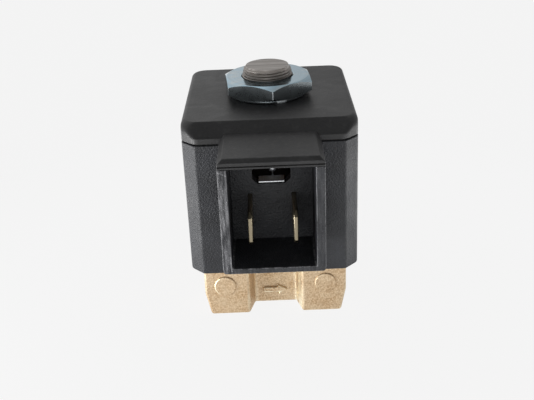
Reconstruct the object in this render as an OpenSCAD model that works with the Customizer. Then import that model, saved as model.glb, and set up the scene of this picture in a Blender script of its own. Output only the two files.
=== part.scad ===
// Solenoid valve for an oil burner: brass body, guide tube with plunger, and a plug-on coil.
// Millimetres. The origin is under the plunger's axis, on the body's base. The connector faces -Y.

/* [Body] */
// Length of the body between its two port faces
body_w = 28.4; // [27.6:0.2:36]
// Depth of the body from front to back
body_d = 24; // [22:0.5:30]
// Height of the body's shoulders above its base
body_h = 12.6; // [12.2:0.1:16]
// Width of the front and back recesses at the mouth
recess_w = 10.6; // [8:0.2:11]
// Depth of the front and back recesses
recess_depth = 4; // [2:0.2:4.4]
// How far each recess wall leans in towards the web
recess_draft = 1.1; // [0.4:0.1:2]
// How far each end leans in towards the base
end_taper = 1; // [0.2:0.1:1.6]
// Height of the leaning part of each end
taper_h = 4.8; // [2:0.2:6]
// Bevel along the front and back edges of the base
base_bevel = 0.3; // [0.2:0.1:1.4]
// Radius of the body's upright corners
body_corner = 1.2; // [0.4:0.1:2]
// Diameter of the raised round pads on the front and back
pad_d = 4.4; // [2:0.2:6]
// Height of the raised round pads
pad_h = 0.3; // [0.1:0.05:0.6]

/* [Ports] */
// Bore of each threaded port
port_bore = 8.8; // [7.6:0.1:9.2]
// Depth of each port
port_depth = 7.8; // [5:0.1:8]
// Height of the port axis above the base
port_z = 6.5; // [6.2:0.1:6.8]
// Countersink at the mouth of each port
port_chamfer = 0.6; // [0.2:0.1:0.9]
// Diameter of the drilled passages behind the ports
passage_d = 3; // [1.6:0.1:3.2]

/* [Valve seat] */
// Diameter of the orifice
orifice_d = 2.2; // [1:0.1:2.6]
// Diameter of the seat nozzle at its foot
nozzle_d = 5; // [4.4:0.1:5.6]
// Width of the nozzle's flat lip around the orifice
nozzle_lip = 0.5; // [0.3:0.05:0.8]
// Height of the nozzle above the chamber floor
nozzle_h = 2.4; // [1.6:0.1:2.8]

/* [Boss and guide tube] */
// Height of the round boss above the shoulders
boss_h = 4; // [3:0.1:5]
// How far the boss reaches down between the shoulders
hub_drop = 2.9; // [2:0.1:4]
// Wall of the boss around the ring nut
boss_wall = 1.7; // [1.2:0.1:2.2]
// Outside diameter of the guide tube
tube_od = 10.6; // [10.4:0.1:11.2]
// Wall of the guide tube
tube_wall = 0.75; // [0.5:0.05:0.9]
// Width of the flange at the foot of the tube
flange_w = 1.6; // [1.4:0.1:2]
// Thickness of that flange
flange_t = 1; // [0.6:0.1:1.2]
// Height of the ring nut that clamps the flange
ring_nut_h = 2.6; // [2:0.1:2.8]
// How far the ring nut's thread lies outside the flange
ring_nut_step = 1.4; // [1:0.1:1.8]
// Cord of the O-ring under the flange
o_ring_cord = 1.3; // [1:0.05:1.4]

/* [Core and plunger] */
// Root diameter of the stud's thread
stud_d = 9.1; // [8:0.1:9.6]
// How far the stud stands out of the nut
stud_proud = 1.95; // [1:0.05:4]
// Diameter of the flat on the end of the stud
stud_tip_d = 8.2; // [6:0.1:8.6]
// Height of the taper that leads up to that flat
stud_taper_h = 1.9; // [0.4:0.1:1.9]
// Length of the plunger
plunger_l = 18.6; // [16:0.1:21]
// Travel of the plunger
lift = 0.9; // [0.5:0.05:1.2]
// Diameter of the seal in the plunger's foot
seal_d = 6; // [5:0.1:6.6]
// Thickness of that seal
seal_t = 2; // [1.4:0.1:3]
// Diameter of the spring pockets
pocket_d = 5; // [4.4:0.1:5.4]
// Depth of the spring pocket in the plunger
plunger_pocket = 8; // [6:0.1:10]
// Depth of the spring pocket in the core
core_pocket = 4; // [2:0.1:5]
// Wire of the return spring
spring_wire = 0.5; // [0.3:0.05:0.7]
// Turns of the return spring
spring_turns = 9; // [6:1:12]
// Width of the shading ring
shading_w = 0.7; // [0.4:0.1:0.8]
// Height of the shading ring
shading_h = 1; // [0.6:0.1:1.6]

/* [Coil housing] */
// Width of the coil housing
coil_w = 32; // [30:0.5:38]
// Depth of the coil housing from front to back
coil_d = 36; // [34:0.5:44]
// Height of the case from its base to the parting plane
case_h = 26.2; // [24:0.2:34]
// Height of the cap's upright lip above the parting plane
cap_lip = 1.3; // [0.8:0.1:3]
// Bevel along the cap's front edge
cap_bevel = 2.45; // [1.6:0.05:3]
// Radius along the cap's other top edges
cap_round = 1; // [0.3:0.1:1.4]
// Chamfer of the housing's front upright corners
corner = 2.45; // [1.6:0.05:3]
// Radius of the housing's back upright corners
back_round = 3; // [1:0.1:4]
// Radius along the foot of the case
foot_round = 0.8; // [0.4:0.1:1.4]
// Wall of the housing
case_wall = 2.3; // [1.8:0.1:2.6]
// Thickness of the case's floor over the boss
floor_t = 1.4; // [1:0.1:2.4]
// Height of the groove along the parting line
seam_h = 0.25; // [0.1:0.05:0.5]
// Depth of that groove
seam_depth = 0.5; // [0.2:0.1:0.8]

/* [Coil inside] */
// Thickness of the yoke's strap
yoke_t = 2; // [1.4:0.1:2.2]
// Width of the yoke's strap
yoke_d = 22; // [16:0.5:24]
// Wall of the bobbin's barrel
barrel_wall = 1; // [0.7:0.1:1.4]
// Thickness of the bobbin's flanges
bobbin_flange = 1.3; // [1:0.1:1.8]
// How far the flanges stand out of the winding
winding_inset = 1.2; // [0.8:0.1:2]
// Thickness of the tape around the winding
tape_t = 0.3; // [0.1:0.05:0.5]
// Diameter of the winding's leads
lead_d = 0.5; // [0.3:0.05:0.8]

/* [Connector] */
// Outside width of the connector shroud
shroud_w = 18.1; // [17:0.1:22]
// How far the shroud stands out of the housing
shroud_reach = 11.4; // [10:0.1:14]
// Side wall of the shroud
shroud_wall = 1.6; // [1.2:0.1:2]
// Floor of the shroud
shroud_floor = 1.05; // [0.8:0.05:1.6]
// Height of the shroud's underside above the base of the case
shroud_z = 6.3; // [4:0.1:7]
// Radius of the shroud's lower corners
shroud_round = 1; // [0.4:0.1:1.5]
// Height of the roof's front edge
roof_rim = 1.1; // [0.8:0.1:1.6]
// Bevel along the roof's front edge
roof_bevel = 0.7; // [0.3:0.1:1]
// Bevel along the roof's sides
roof_side = 0.9; // [0.3:0.1:1.2]
// Width of a terminal blade
blade_w = 6.3; // [4.8:0.1:6.4]
// Thickness of a terminal blade
blade_t = 0.8; // [0.5:0.1:1]
// Distance between the two blades
blade_pitch = 8; // [7:0.1:9]
// How far the blades stand out of the socket's back wall
blade_reach = 8.7; // [6:0.1:9.5]
// Height of the blades' middle above the base of the case
blade_z = 13.45; // [11.5:0.05:14]
// Chamfer at the tip of a blade
blade_tip = 0.9; // [0.4:0.1:1.2]
// Diameter of the detent hole in a blade
blade_hole = 1.7; // [1.2:0.1:2]
// Width of the window above the blades
window_w = 7; // [5:0.1:8]
// Height of the window's sill above the base of the case
window_z = 18.4; // [17.5:0.1:21]
// Chamfer at the window's lower corners
window_chamfer = 1.05; // [0.3:0.05:1.2]
// Thickness of the earth clip
clip_t = 0.4; // [0.3:0.1:0.6]

/* [Nut] */
// Width of the nut across its flats
nut_af = 16; // [15:0.5:19]
// Height of the nut
nut_h = 3; // [2.4:0.1:5]
// Turn of the nut from facing a corner to the front
nut_turn = 5.5; // [0:0.5:60]
// Outside diameter of the washer under the nut
washer_d = 15; // [13:0.5:20]
// Thickness of that washer
washer_t = 0.65; // [0.4:0.05:1.4]

/* [Clearances] */
// Radial clearance of the plunger and of the coil on the tube
running_gap = 0.06; // [0.03:0.01:0.09]
// Clearance between pieces that must not touch
free_gap = 0.3; // [0.2:0.05:0.5]
// Clearance around pieces that are pressed or screwed in
seat_gap = 0.02; // [0.01:0.01:0.05]
// Clearance around pieces that drop in
slip_gap = 0.1; // [0.05:0.01:0.2]
// Air left between the plunger and the core at full lift
stop_gap = 0.1; // [0.05:0.01:0.2]

/* [Hidden] */
$fn = 64;
// Reach of a cutting shape past the face that it cuts
past = 1;

// Radii around the plunger's axis, from the tube outwards
tube_r = tube_od / 2;
bore_r = tube_r - tube_wall;
plunger_r = bore_r - running_gap;
chamber_gap = 0.65;
chamber_r = bore_r + chamber_gap;
flange_r = tube_r + flange_w;
flange_bore_r = flange_r + slip_gap;
ring_nut_r = flange_r + ring_nut_step;
boss_r = ring_nut_r + boss_wall;
pocket_r = pocket_d / 2;

// Heights of the body and of the tube's clamping, from the boss down
boss_top = body_h + boss_h;
flange_top = boss_top - ring_nut_h;
flange_z = flange_top - flange_t;
o_ring_z = flange_z - o_ring_cord;
chamber_rise = 0.5;
chamber_z = port_z + chamber_rise;
seat_z = chamber_z + nozzle_h;
passage_inset = 0.1;
feed_z = chamber_z + passage_inset + passage_d / 2;
drain_drop = 2.5;
drain_z = port_z - drain_drop;
port_end = body_w / 2 - port_depth;
pad_x = (body_w + recess_w) / 4 + free_gap;

// Heights of the coil
coil_z = body_h + free_gap;
parting_z = coil_z + case_h;
cap_top = parting_z + cap_lip + cap_bevel;
cap_pocket = 1.6;
cavity_z = boss_top + floor_t;
bobbin_z = cavity_z + yoke_t;
plate_top = parting_z + cap_pocket;
plate_z = plate_top - yoke_t;
bobbin_top = plate_z;

// Plan of the coil
front_y = -coil_d / 2;
hole_r = tube_r + free_gap;
yoke_x = coil_w / 2 - case_wall - slip_gap;
bobbin_r = yoke_x - yoke_t - free_gap;
barrel_r = tube_r + running_gap + barrel_wall;
winding_r = bobbin_r - winding_inset;
tape_r = winding_r + seat_gap + tape_t;
winding_z = bobbin_z + bobbin_flange;
winding_top = bobbin_top - bobbin_flange;
lead_room = 2.4;

// Core, plunger and spring
plunger_top = seat_z + plunger_l;
core_z = plunger_top + lift + stop_gap;
shoulder_drop = 1;
shoulder_top = cap_top - shoulder_drop;
shading_mid = (pocket_r + bore_r - seat_gap) / 2;
spring_r = pocket_r - free_gap - spring_wire / 2;
spring_z = plunger_top - plunger_pocket;
spring_top = core_z + core_pocket;
spring_sides = 8;
spring_steps = 12;
spring_rings = spring_turns * spring_steps;
flute_w = 1.4;
flute_depth = 0.9;
seal_lip = 0.3;

// Connector
shroud_bottom = coil_z + shroud_z;
socket_w = shroud_w - 2 * shroud_wall;
socket_z = shroud_bottom + shroud_floor;
socket_round = 0.4;
roof_top = parting_z + roof_rim + roof_bevel;
blade_low = coil_z + blade_z - blade_w / 2;
blade_high = blade_low + blade_w;
tip_y = front_y - blade_reach;
hole_setback = 4.2;
tail_w = 2;
tail_front = front_y + case_wall + free_gap;
tail_back = tail_front + tail_w;
tail_top = bobbin_top - slip_gap;
lug_w = 2.2;
lug_front = tail_front - slip_gap;
window_sill = coil_z + window_z;
clip_y = front_y + case_wall + free_gap;
lip_setback = 0.4;
clip_w = window_w - 2 * window_chamfer - slip_gap;

// Nut
washer_z = cap_top;
nut_z = washer_z + washer_t;
nut_top = nut_z + nut_h;
stud_top = nut_top + stud_proud;
nut_flat = 0.985;
chamfer_angle = 30;
countersink = 0.35;

// Sweeps a flat shape drawn as (x, z) along Y, with its middle at y = 0
module along_y(length) {
    rotate([90, 0, 0])
        linear_extrude(length, center = true)
            children();
}

// Sweeps a flat shape drawn as (y, z) along X, with its middle at x = 0
module along_x(length) {
    rotate([90, 0, 90])
        linear_extrude(length, center = true)
            children();
}

// A bored ring
module ring(outer, inner, height) {
    difference() {
        cylinder(r = outer, h = height);
        translate([0, 0, -past])
            cylinder(r = inner, h = height + 2 * past);
    }
}

// Plan of the housing, drawn in by a wall: front corners chamfered, back corners rounded
module housing_plan(wall) {
    x = coil_w / 2 - wall;
    y = coil_d / 2 - wall;
    c = max(seat_gap, corner - wall * (2 - sqrt(2)));
    r = max(seat_gap, back_round - wall);
    polygon([
        [-x + c, -y], [x - c, -y], [x, -y + c], [x, y - r],
        [x - r, y], [-x + r, y], [-x, y - r], [-x, -y + c]
    ]);
    for (side = [-1, 1])
        translate([side * (x - r), y - r])
            circle(r);
}

// A rectangle that stands on y = 0 with both lower corners rounded
module rounded_foot(w, h, r) {
    translate([-w / 2, r])
        square([w, h - r]);
    translate([-w / 2 + r, 0])
        square([w - 2 * r, r]);
    for (side = [-1, 1])
        translate([side * (w / 2 - r), r])
            circle(r);
}

// Plan of the body: a rectangle with rounded corners
module body_plan() {
    r = body_corner;
    square([body_w - 2 * r, body_d], center = true);
    square([body_w, body_d - 2 * r], center = true);
    for (x = [-1, 1], y = [-1, 1])
        translate([x * (body_w / 2 - r), y * (body_d / 2 - r)])
            circle(r);
}

// The forging before its recesses are cut and its bores drilled
module body_blank() {
    half_w = body_w / 2;
    half_d = body_d / 2;
    intersection() {
        linear_extrude(body_h)
            body_plan();
        along_y(body_d + past)
            polygon([
                [-half_w, body_h], [-half_w, taper_h], [-half_w + end_taper, 0],
                [half_w - end_taper, 0], [half_w, taper_h], [half_w, body_h]
            ]);
        along_x(body_w + past)
            polygon([
                [-half_d, body_h], [-half_d, base_bevel], [-half_d + base_bevel, 0],
                [half_d - base_bevel, 0], [half_d, base_bevel], [half_d, body_h]
            ]);
    }
}

// A drafted recess between the two end blocks, open at the front
module body_recess() {
    mouth = recess_w / 2;
    web = mouth - recess_draft;
    lean = recess_draft / recess_depth;
    front = -body_d / 2;
    translate([0, 0, -past])
        linear_extrude(body_h + 2 * past)
            polygon([
                [-mouth - lean * past, front - past], [mouth + lean * past, front - past],
                [web, front + recess_depth], [-web, front + recess_depth]
            ]);
}

// A port's bore with its countersunk mouth, pointing along +X
module port_bore_cut() {
    translate([body_w / 2, 0, port_z])
        rotate([0, -90, 0]) {
            translate([0, 0, -past])
                cylinder(d = port_bore, h = port_depth + past);
            translate([0, 0, -past])
                cylinder(
                    r1 = port_bore / 2 + port_chamfer + past,
                    r2 = port_bore / 2,
                    h = port_chamfer + past
                );
        }
}

// The chamber with the nozzle left standing in it, and the bores above
module tube_bores() {
    difference() {
        translate([0, 0, chamber_z])
            cylinder(r = chamber_r, h = boss_top - chamber_z + past);
        translate([0, 0, chamber_z - past])
            cylinder(d = nozzle_d, h = past + nozzle_h / 2);
        translate([0, 0, chamber_z + nozzle_h / 2])
            cylinder(d1 = nozzle_d, d2 = orifice_d + 2 * nozzle_lip, h = nozzle_h / 2);
    }
    translate([0, 0, o_ring_z])
        cylinder(r = flange_bore_r, h = boss_top - o_ring_z + past);
    translate([0, 0, flange_top])
        cylinder(r = ring_nut_r + seat_gap, h = ring_nut_h + past);
}

// Inlet passage to the chamber, orifice, and outlet passage from under it
module passages() {
    reach = port_end + past;
    translate([-reach, 0, feed_z])
        rotate([0, 90, 0])
            cylinder(d = passage_d, h = reach - chamber_r + chamber_gap);
    translate([0, 0, drain_z])
        cylinder(d = orifice_d, h = seat_z - drain_z + past);
    translate([0, 0, drain_z])
        rotate([0, 90, 0])
            cylinder(d = passage_d, h = reach);
}

module valve_body() {
    color("#c9a36a")
        difference() {
            union() {
                difference() {
                    body_blank();
                    body_recess();
                    mirror([0, 1, 0])
                        body_recess();
                }
                translate([0, 0, body_h - hub_drop])
                    cylinder(r = boss_r, h = hub_drop + boss_h);
                for (x = [-1, 1])
                    translate([x * pad_x, 0, port_z])
                        rotate([90, 0, 0])
                            cylinder(d = pad_d, h = body_d + 2 * pad_h, center = true);
            }
            port_bore_cut();
            mirror([1, 0, 0])
                port_bore_cut();
            tube_bores();
            passages();
        }
}

module guide_tube() {
    color("#b9bcc0")
        rotate_extrude()
            polygon([
                [bore_r, flange_z], [flange_r, flange_z], [flange_r, flange_top],
                [tube_r, flange_top], [tube_r, parting_z], [bore_r, parting_z]
            ]);
}

module ring_nut() {
    hole_d = 1.5;
    hole_depth = 1.5;
    hole_circle = (ring_nut_r + tube_r) / 2;
    color("#bfa05e")
        difference() {
            translate([0, 0, flange_top])
                ring(ring_nut_r, tube_r + slip_gap, ring_nut_h);
            for (side = [-1, 1])
                translate([side * hole_circle, 0, boss_top - hole_depth])
                    cylinder(d = hole_d, h = hole_depth + past);
        }
}

module body_o_ring() {
    color("#1c1c1c")
        translate([0, 0, o_ring_z + o_ring_cord / 2])
            rotate_extrude()
                translate([(chamber_r + flange_bore_r) / 2, 0])
                    circle(d = o_ring_cord);
}

module fixed_core() {
    core_r = bore_r - seat_gap;
    stud_r = stud_d / 2;
    color("#8d877d")
        difference() {
            rotate_extrude()
                polygon([
                    [0, core_z], [core_r, core_z], [core_r, parting_z], [tube_r, parting_z],
                    [tube_r, shoulder_top], [stud_r, shoulder_top],
                    [stud_r, stud_top - stud_taper_h], [stud_tip_d / 2, stud_top], [0, stud_top]
                ]);
            translate([0, 0, core_z - past])
                cylinder(r = pocket_r, h = core_pocket + past);
            translate([0, 0, core_z - past])
                ring(shading_mid + shading_w / 2 + seat_gap, shading_mid - shading_w / 2 - seat_gap,
                    shading_h + past);
        }
}

module shading_ring() {
    color("#b87333")
        translate([0, 0, core_z])
            ring(shading_mid + shading_w / 2, shading_mid - shading_w / 2, shading_h);
}

// Hexagon nut with both ends chamfered and its thread countersunk
module coil_nut() {
    corner_r = nut_af / 2 / cos(30);
    flat_r = nut_flat * nut_af / 2;
    drop = (corner_r - flat_r) * tan(chamfer_angle);
    thread_r = stud_d / 2 + seat_gap;
    color("#b4bcc4")
        translate([0, 0, nut_z])
            difference() {
                intersection() {
                    rotate(nut_turn - 90)
                        cylinder(r = corner_r, h = nut_h, $fn = 6);
                    rotate_extrude()
                        polygon([
                            [0, 0], [flat_r, 0], [corner_r, drop], [corner_r, nut_h - drop],
                            [flat_r, nut_h], [0, nut_h]
                        ]);
                }
                translate([0, 0, -past])
                    cylinder(r = thread_r, h = nut_h + 2 * past);
                translate([0, 0, nut_h - countersink])
                    cylinder(r1 = thread_r, r2 = thread_r + countersink + past, h = countersink + past);
            }
}

module nut_washer() {
    color("#a9b0b6")
        translate([0, 0, washer_z])
            ring(washer_d / 2, stud_d / 2 + free_gap, washer_t);
}

// Round plunger with two flutes for the oil, a pocket for its seal and one for the spring
module plunger() {
    color("#9a9c9e")
        difference() {
            translate([0, 0, seat_z])
                cylinder(r = plunger_r, h = plunger_l);
            translate([0, 0, seat_z + seal_t - seal_lip])
                cylinder(d = seal_d - 2 * seal_lip, h = seal_lip + seat_gap);
            translate([0, 0, seat_z - past])
                cylinder(d = seal_d + 2 * seat_gap, h = seal_t - seal_lip + past);
            translate([0, 0, spring_z])
                cylinder(r = pocket_r, h = plunger_pocket + past);
            for (side = [-1, 1])
                translate([side * plunger_r, 0, seat_z + plunger_l / 2])
                    cube([2 * flute_depth, flute_w, plunger_l + 2 * past], center = true);
        }
}

// Rubber disc with a smaller back that locks into the plunger
module seat_seal() {
    color("#2b2420")
        translate([0, 0, seat_z]) {
            cylinder(d = seal_d, h = seal_t - seal_lip);
            cylinder(d = seal_d - 2 * seal_lip - 2 * seat_gap, h = seal_t);
        }
}

// Height of the spring's centre line after a number of turns, with a closed turn at each end
function spring_rise(turn) =
    let (
        low = spring_z + spring_wire / 2,
        high = spring_top - spring_wire / 2,
        open_turns = spring_turns - 2,
        pitch = (high - low - 2 * spring_wire) / open_turns
    )
    turn <= 1 ? low + spring_wire * turn
        : turn >= spring_turns - 1 ? high - spring_wire * (spring_turns - turn)
        : low + spring_wire + pitch * (turn - 1);

// A point on the wire's skin
function spring_point(step, side) =
    let (
        angle = 360 * step / spring_steps,
        around = 360 * side / spring_sides,
        r = spring_r + spring_wire / 2 * cos(around)
    )
    [
        r * cos(angle), r * sin(angle),
        spring_rise(step / spring_steps) + spring_wire / 2 * sin(around)
    ];

module return_spring() {
    n = spring_sides;
    points = [for (i = [0 : spring_rings], j = [0 : n - 1]) spring_point(i, j)];
    skin = [
        for (i = [0 : spring_rings - 1], j = [0 : n - 1])
            let (k = (j + 1) % n)
            each [
                [i * n + j, i * n + k, (i + 1) * n + k],
                [i * n + j, (i + 1) * n + k, (i + 1) * n + j]
            ]
    ];
    first = [for (j = [0 : n - 1]) n - 1 - j];
    last = [for (j = [0 : n - 1]) spring_rings * n + j];
    color("#8f9398")
        polyhedron(points, concat(skin, [first, last]));
}

// The case as a solid block, with a rounded foot
module case_block() {
    translate([0, 0, coil_z])
        intersection() {
            linear_extrude(case_h)
                housing_plan(0);
            along_y(coil_d + past)
                rounded_foot(coil_w, case_h, foot_round);
            along_x(coil_w + past)
                rounded_foot(coil_d, case_h, foot_round);
        }
}

// The connector shroud as a solid block that reaches back into the case
module shroud_block() {
    root = case_wall / 2;
    translate([0, front_y + root, shroud_bottom])
        rotate([90, 0, 0])
            linear_extrude(shroud_reach + root)
                rounded_foot(shroud_w, parting_z - shroud_bottom, shroud_round);
}

// The socket inside the shroud, open to the front and to the roof
module socket_cut() {
    translate([0, front_y, socket_z])
        rotate([90, 0, 0])
            linear_extrude(shroud_reach + past)
                rounded_foot(socket_w, parting_z - socket_z + past, socket_round);
}

// The window in the socket's back wall, with chamfered lower corners
module window_cut() {
    half = window_w / 2;
    top = parting_z + past;
    translate([0, front_y + case_wall / 2, 0])
        along_y(case_wall + past)
            polygon([
                [-half, top], [-half, window_sill + window_chamfer],
                [-half + window_chamfer, window_sill], [half - window_chamfer, window_sill],
                [half, window_sill + window_chamfer], [half, top]
            ]);
}

module coil_case() {
    color("#2c2d31")
        difference() {
            union() {
                case_block();
                shroud_block();
            }
            translate([0, 0, cavity_z])
                linear_extrude(parting_z - cavity_z + past)
                    housing_plan(case_wall);
            translate([0, 0, coil_z - past])
                cylinder(r = boss_r + free_gap, h = boss_top - coil_z + past);
            translate([0, 0, coil_z])
                cylinder(r = hole_r, h = case_h);
            socket_cut();
            window_cut();
            for (side = [-1, 1])
                translate([
                    side * blade_pitch / 2, front_y + case_wall / 2, (blade_low + blade_high) / 2
                ])
                    cube([blade_t + 2 * seat_gap, case_wall + past, blade_w + 2 * seat_gap], center = true);
        }
}

// Side view of the cap: bevelled at the front, rounded at the back
module cap_side() {
    r = cap_round;
    difference() {
        translate([front_y, parting_z])
            square([coil_d, cap_top - parting_z]);
        polygon([
            [front_y - past, cap_top - cap_bevel - past], [front_y + cap_bevel + past, cap_top + past],
            [front_y - past, cap_top + past]
        ]);
        translate([-front_y - r, cap_top - r])
            difference() {
                square(r + past);
                circle(r);
            }
    }
}

// Front view of the cap: both top edges rounded
module cap_front() {
    translate([0, cap_top])
        mirror([0, 1])
            rounded_foot(coil_w, cap_top - parting_z, cap_round);
}

// The shroud's roof, bevelled along its front and sides
module shroud_roof() {
    front = front_y - shroud_reach;
    back = front_y + cap_bevel;
    half = shroud_w / 2;
    side_top = roof_top - roof_side;
    intersection() {
        along_x(shroud_w)
            polygon([
                [front, parting_z], [front, parting_z + roof_rim], [front + roof_bevel, roof_top],
                [back, roof_top], [back, parting_z]
            ]);
        along_y(coil_d + 2 * shroud_reach + past)
            polygon([
                [-half, parting_z], [-half, side_top], [-half + roof_side, roof_top],
                [half - roof_side, roof_top], [half, side_top], [half, parting_z]
            ]);
    }
}

// The cap as a solid block
module cap_block() {
    intersection() {
        translate([0, 0, parting_z])
            linear_extrude(cap_top - parting_z)
                housing_plan(0);
        along_x(coil_w + past)
            cap_side();
        along_y(coil_d + past)
            cap_front();
    }
}

// The groove around the foot of the cap
module seam_groove() {
    translate([0, 0, parting_z - past])
        linear_extrude(seam_h + past)
            difference() {
                square([coil_w + 2 * past, coil_d + 2 * past], center = true);
                housing_plan(seam_depth);
            }
}

module top_cap() {
    color("#323337")
        difference() {
            union() {
                difference() {
                    cap_block();
                    seam_groove();
                }
                shroud_roof();
            }
            translate([0, 0, parting_z - past])
                linear_extrude(cap_pocket + past)
                    housing_plan(case_wall);
            translate([0, 0, parting_z])
                cylinder(r = hole_r, h = cap_top - parting_z + past);
        }
}

// Spool with two lugs on its upper flange that hold the terminals' tails
module bobbin() {
    bobbin_bore = tube_r + running_gap;
    color("#d8d2c0")
        difference() {
            union() {
                rotate_extrude()
                    polygon([
                        [bobbin_bore, bobbin_z], [bobbin_r, bobbin_z], [bobbin_r, winding_z],
                        [barrel_r, winding_z], [barrel_r, winding_top], [bobbin_r, winding_top],
                        [bobbin_r, bobbin_top], [bobbin_bore, bobbin_top]
                    ]);
                for (side = [-1, 1])
                    translate([side * blade_pitch / 2 - lug_w / 2, lug_front, winding_top])
                        cube([lug_w, -barrel_r - lug_front, bobbin_flange]);
            }
            for (side = [-1, 1])
                translate([
                    side * blade_pitch / 2 - blade_t / 2 - seat_gap, tail_front - seat_gap - past,
                    winding_top - past
                ])
                    cube([
                        blade_t + 2 * seat_gap, tail_w + 2 * seat_gap + past, bobbin_flange + 2 * past
                    ]);
        }
}

module winding() {
    color("#a8552a")
        translate([0, 0, winding_z])
            ring(winding_r, barrel_r + seat_gap, winding_top - winding_z);
}

module winding_tape() {
    color("#3a2b20")
        translate([0, 0, winding_z])
            ring(tape_r, winding_r + seat_gap, winding_top - winding_z - lead_room);
}

// Steel strap bent into a U around the bobbin
module yoke_frame() {
    height = plate_z - cavity_z;
    bend = yoke_t / 2;
    color("#7d8084")
        difference() {
            translate([0, 0, cavity_z])
                along_y(yoke_d)
                    difference() {
                        rounded_foot(2 * yoke_x, height, bend);
                        translate([-yoke_x + yoke_t, yoke_t])
                            square([2 * (yoke_x - yoke_t), height]);
                    }
            translate([0, 0, cavity_z - past])
                cylinder(r = hole_r, h = yoke_t + 2 * past);
        }
}

// Plate that closes the strap
module yoke_plate() {
    color("#7d8084")
        difference() {
            translate([0, 0, plate_z])
                linear_extrude(yoke_t)
                    square([2 * yoke_x, yoke_d], center = true);
            translate([0, 0, plate_z - past])
                cylinder(r = hole_r, h = yoke_t + 2 * past);
        }
}

// Flat blade with a tail that stands up behind the case's front wall
module terminal() {
    along_x(blade_t)
        difference() {
            polygon([
                [tip_y, blade_low + blade_tip], [tip_y + blade_tip, blade_low], [tail_back, blade_low],
                [tail_back, tail_top], [tail_front, tail_top], [tail_front, blade_high],
                [tip_y + blade_tip, blade_high], [tip_y, blade_high - blade_tip]
            ]);
            translate([tip_y + hole_setback, (blade_low + blade_high) / 2])
                circle(d = blade_hole);
        }
}

module terminal_left() {
    color("#d9c27e")
        translate([-blade_pitch / 2, 0, 0])
            terminal();
}

module terminal_right() {
    color("#d9c27e")
        translate([blade_pitch / 2, 0, 0])
            terminal();
}

// Bent strip from the yoke's foot up to the window's sill
module earth_clip() {
    clip_back = clip_y + clip_t;
    color("#c3c7cb")
        along_x(clip_w)
            polygon([
                [front_y + lip_setback, window_sill], [clip_y, window_sill], [clip_y, cavity_z],
                [-yoke_d / 2, cavity_z], [-yoke_d / 2, cavity_z + clip_t], [clip_back, cavity_z + clip_t],
                [clip_back, window_sill + clip_t], [front_y + lip_setback, window_sill + clip_t]
            ]);
}

// Straight lead from a terminal's tail to the skin of the winding
module lead() {
    reach = sqrt(winding_r * winding_r - blade_pitch * blade_pitch / 4);
    translate([0, tail_back, winding_top - lead_room / 2])
        rotate([-90, 0, 0])
            cylinder(d = lead_d, h = -tail_back - reach - free_gap / 2);
}

module lead_left() {
    color("#b0622f")
        translate([-blade_pitch / 2, 0, 0])
            lead();
}

module lead_right() {
    color("#b0622f")
        translate([blade_pitch / 2, 0, 0])
            lead();
}

valve_body();
guide_tube();
ring_nut();
body_o_ring();
fixed_core();
shading_ring();
coil_nut();
nut_washer();
plunger();
seat_seal();
return_spring();
coil_case();
top_cap();
bobbin();
winding();
winding_tape();
yoke_frame();
yoke_plate();
terminal_left();
terminal_right();
earth_clip();
lead_left();
lead_right();
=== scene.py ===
import math
from contextlib import contextmanager

import bmesh
import bpy
from mathutils import Matrix, Vector


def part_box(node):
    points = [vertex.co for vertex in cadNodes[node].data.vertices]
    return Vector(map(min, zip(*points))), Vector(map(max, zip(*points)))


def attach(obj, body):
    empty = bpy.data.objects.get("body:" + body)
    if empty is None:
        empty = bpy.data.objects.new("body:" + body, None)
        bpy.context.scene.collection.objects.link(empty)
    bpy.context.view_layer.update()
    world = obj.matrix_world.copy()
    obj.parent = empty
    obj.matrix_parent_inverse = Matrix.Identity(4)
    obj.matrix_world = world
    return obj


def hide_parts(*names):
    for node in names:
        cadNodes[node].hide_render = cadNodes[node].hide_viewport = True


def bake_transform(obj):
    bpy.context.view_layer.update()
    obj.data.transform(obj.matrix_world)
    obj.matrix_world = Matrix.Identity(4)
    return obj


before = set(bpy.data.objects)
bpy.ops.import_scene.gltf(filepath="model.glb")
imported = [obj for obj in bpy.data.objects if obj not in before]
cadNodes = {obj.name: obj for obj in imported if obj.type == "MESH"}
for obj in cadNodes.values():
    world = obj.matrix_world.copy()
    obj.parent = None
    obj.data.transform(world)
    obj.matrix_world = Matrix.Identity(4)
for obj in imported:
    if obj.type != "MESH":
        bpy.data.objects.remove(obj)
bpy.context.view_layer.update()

mm = 0.001  # shapes are worked out in millimetres and stored in metres
past = 1  # how far a cutting tool runs beyond what it cuts
fullTurn = 2 * math.pi
scene = bpy.context.scene
scene.view_settings.view_transform = "Standard"
print("frame loaded:", len(cadNodes), "nodes")


# Shape helpers

edgeSettings = {"loftMerge": 0.002, "merge": 0.02, "flatBelow": 1, "sharpAbove": 12, "borderWear": 0.3}


def boxOf(node):
    low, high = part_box(node)
    return low / mm, high / mm


def meshObject(name, bm):
    mesh = bpy.data.meshes.new(name)
    bm.to_mesh(mesh)
    bm.free()
    obj = bpy.data.objects.new(name, mesh)
    scene.collection.objects.link(obj)
    return obj


def spot(axis, a, b, along):
    # a point of a flat outline, stood up along an axis
    places = {"x": (along, a, b), "y": (a, along, b), "z": (a, b, along)}
    return Vector(places[axis]) * mm


def solidObject(name, bm):
    bmesh.ops.recalc_face_normals(bm, faces=bm.faces)
    return meshObject(name, bm)


def bridge(bm, low, high):
    # faces between two rings of points; a ring of one point is a pole
    for i in range(max(len(low), len(high))):
        corners = ((low, i), (low, i + 1), (high, i + 1), (high, i))
        bm.faces.new(list(dict.fromkeys(ring[k % len(ring)] for ring, k in corners)))


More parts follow.
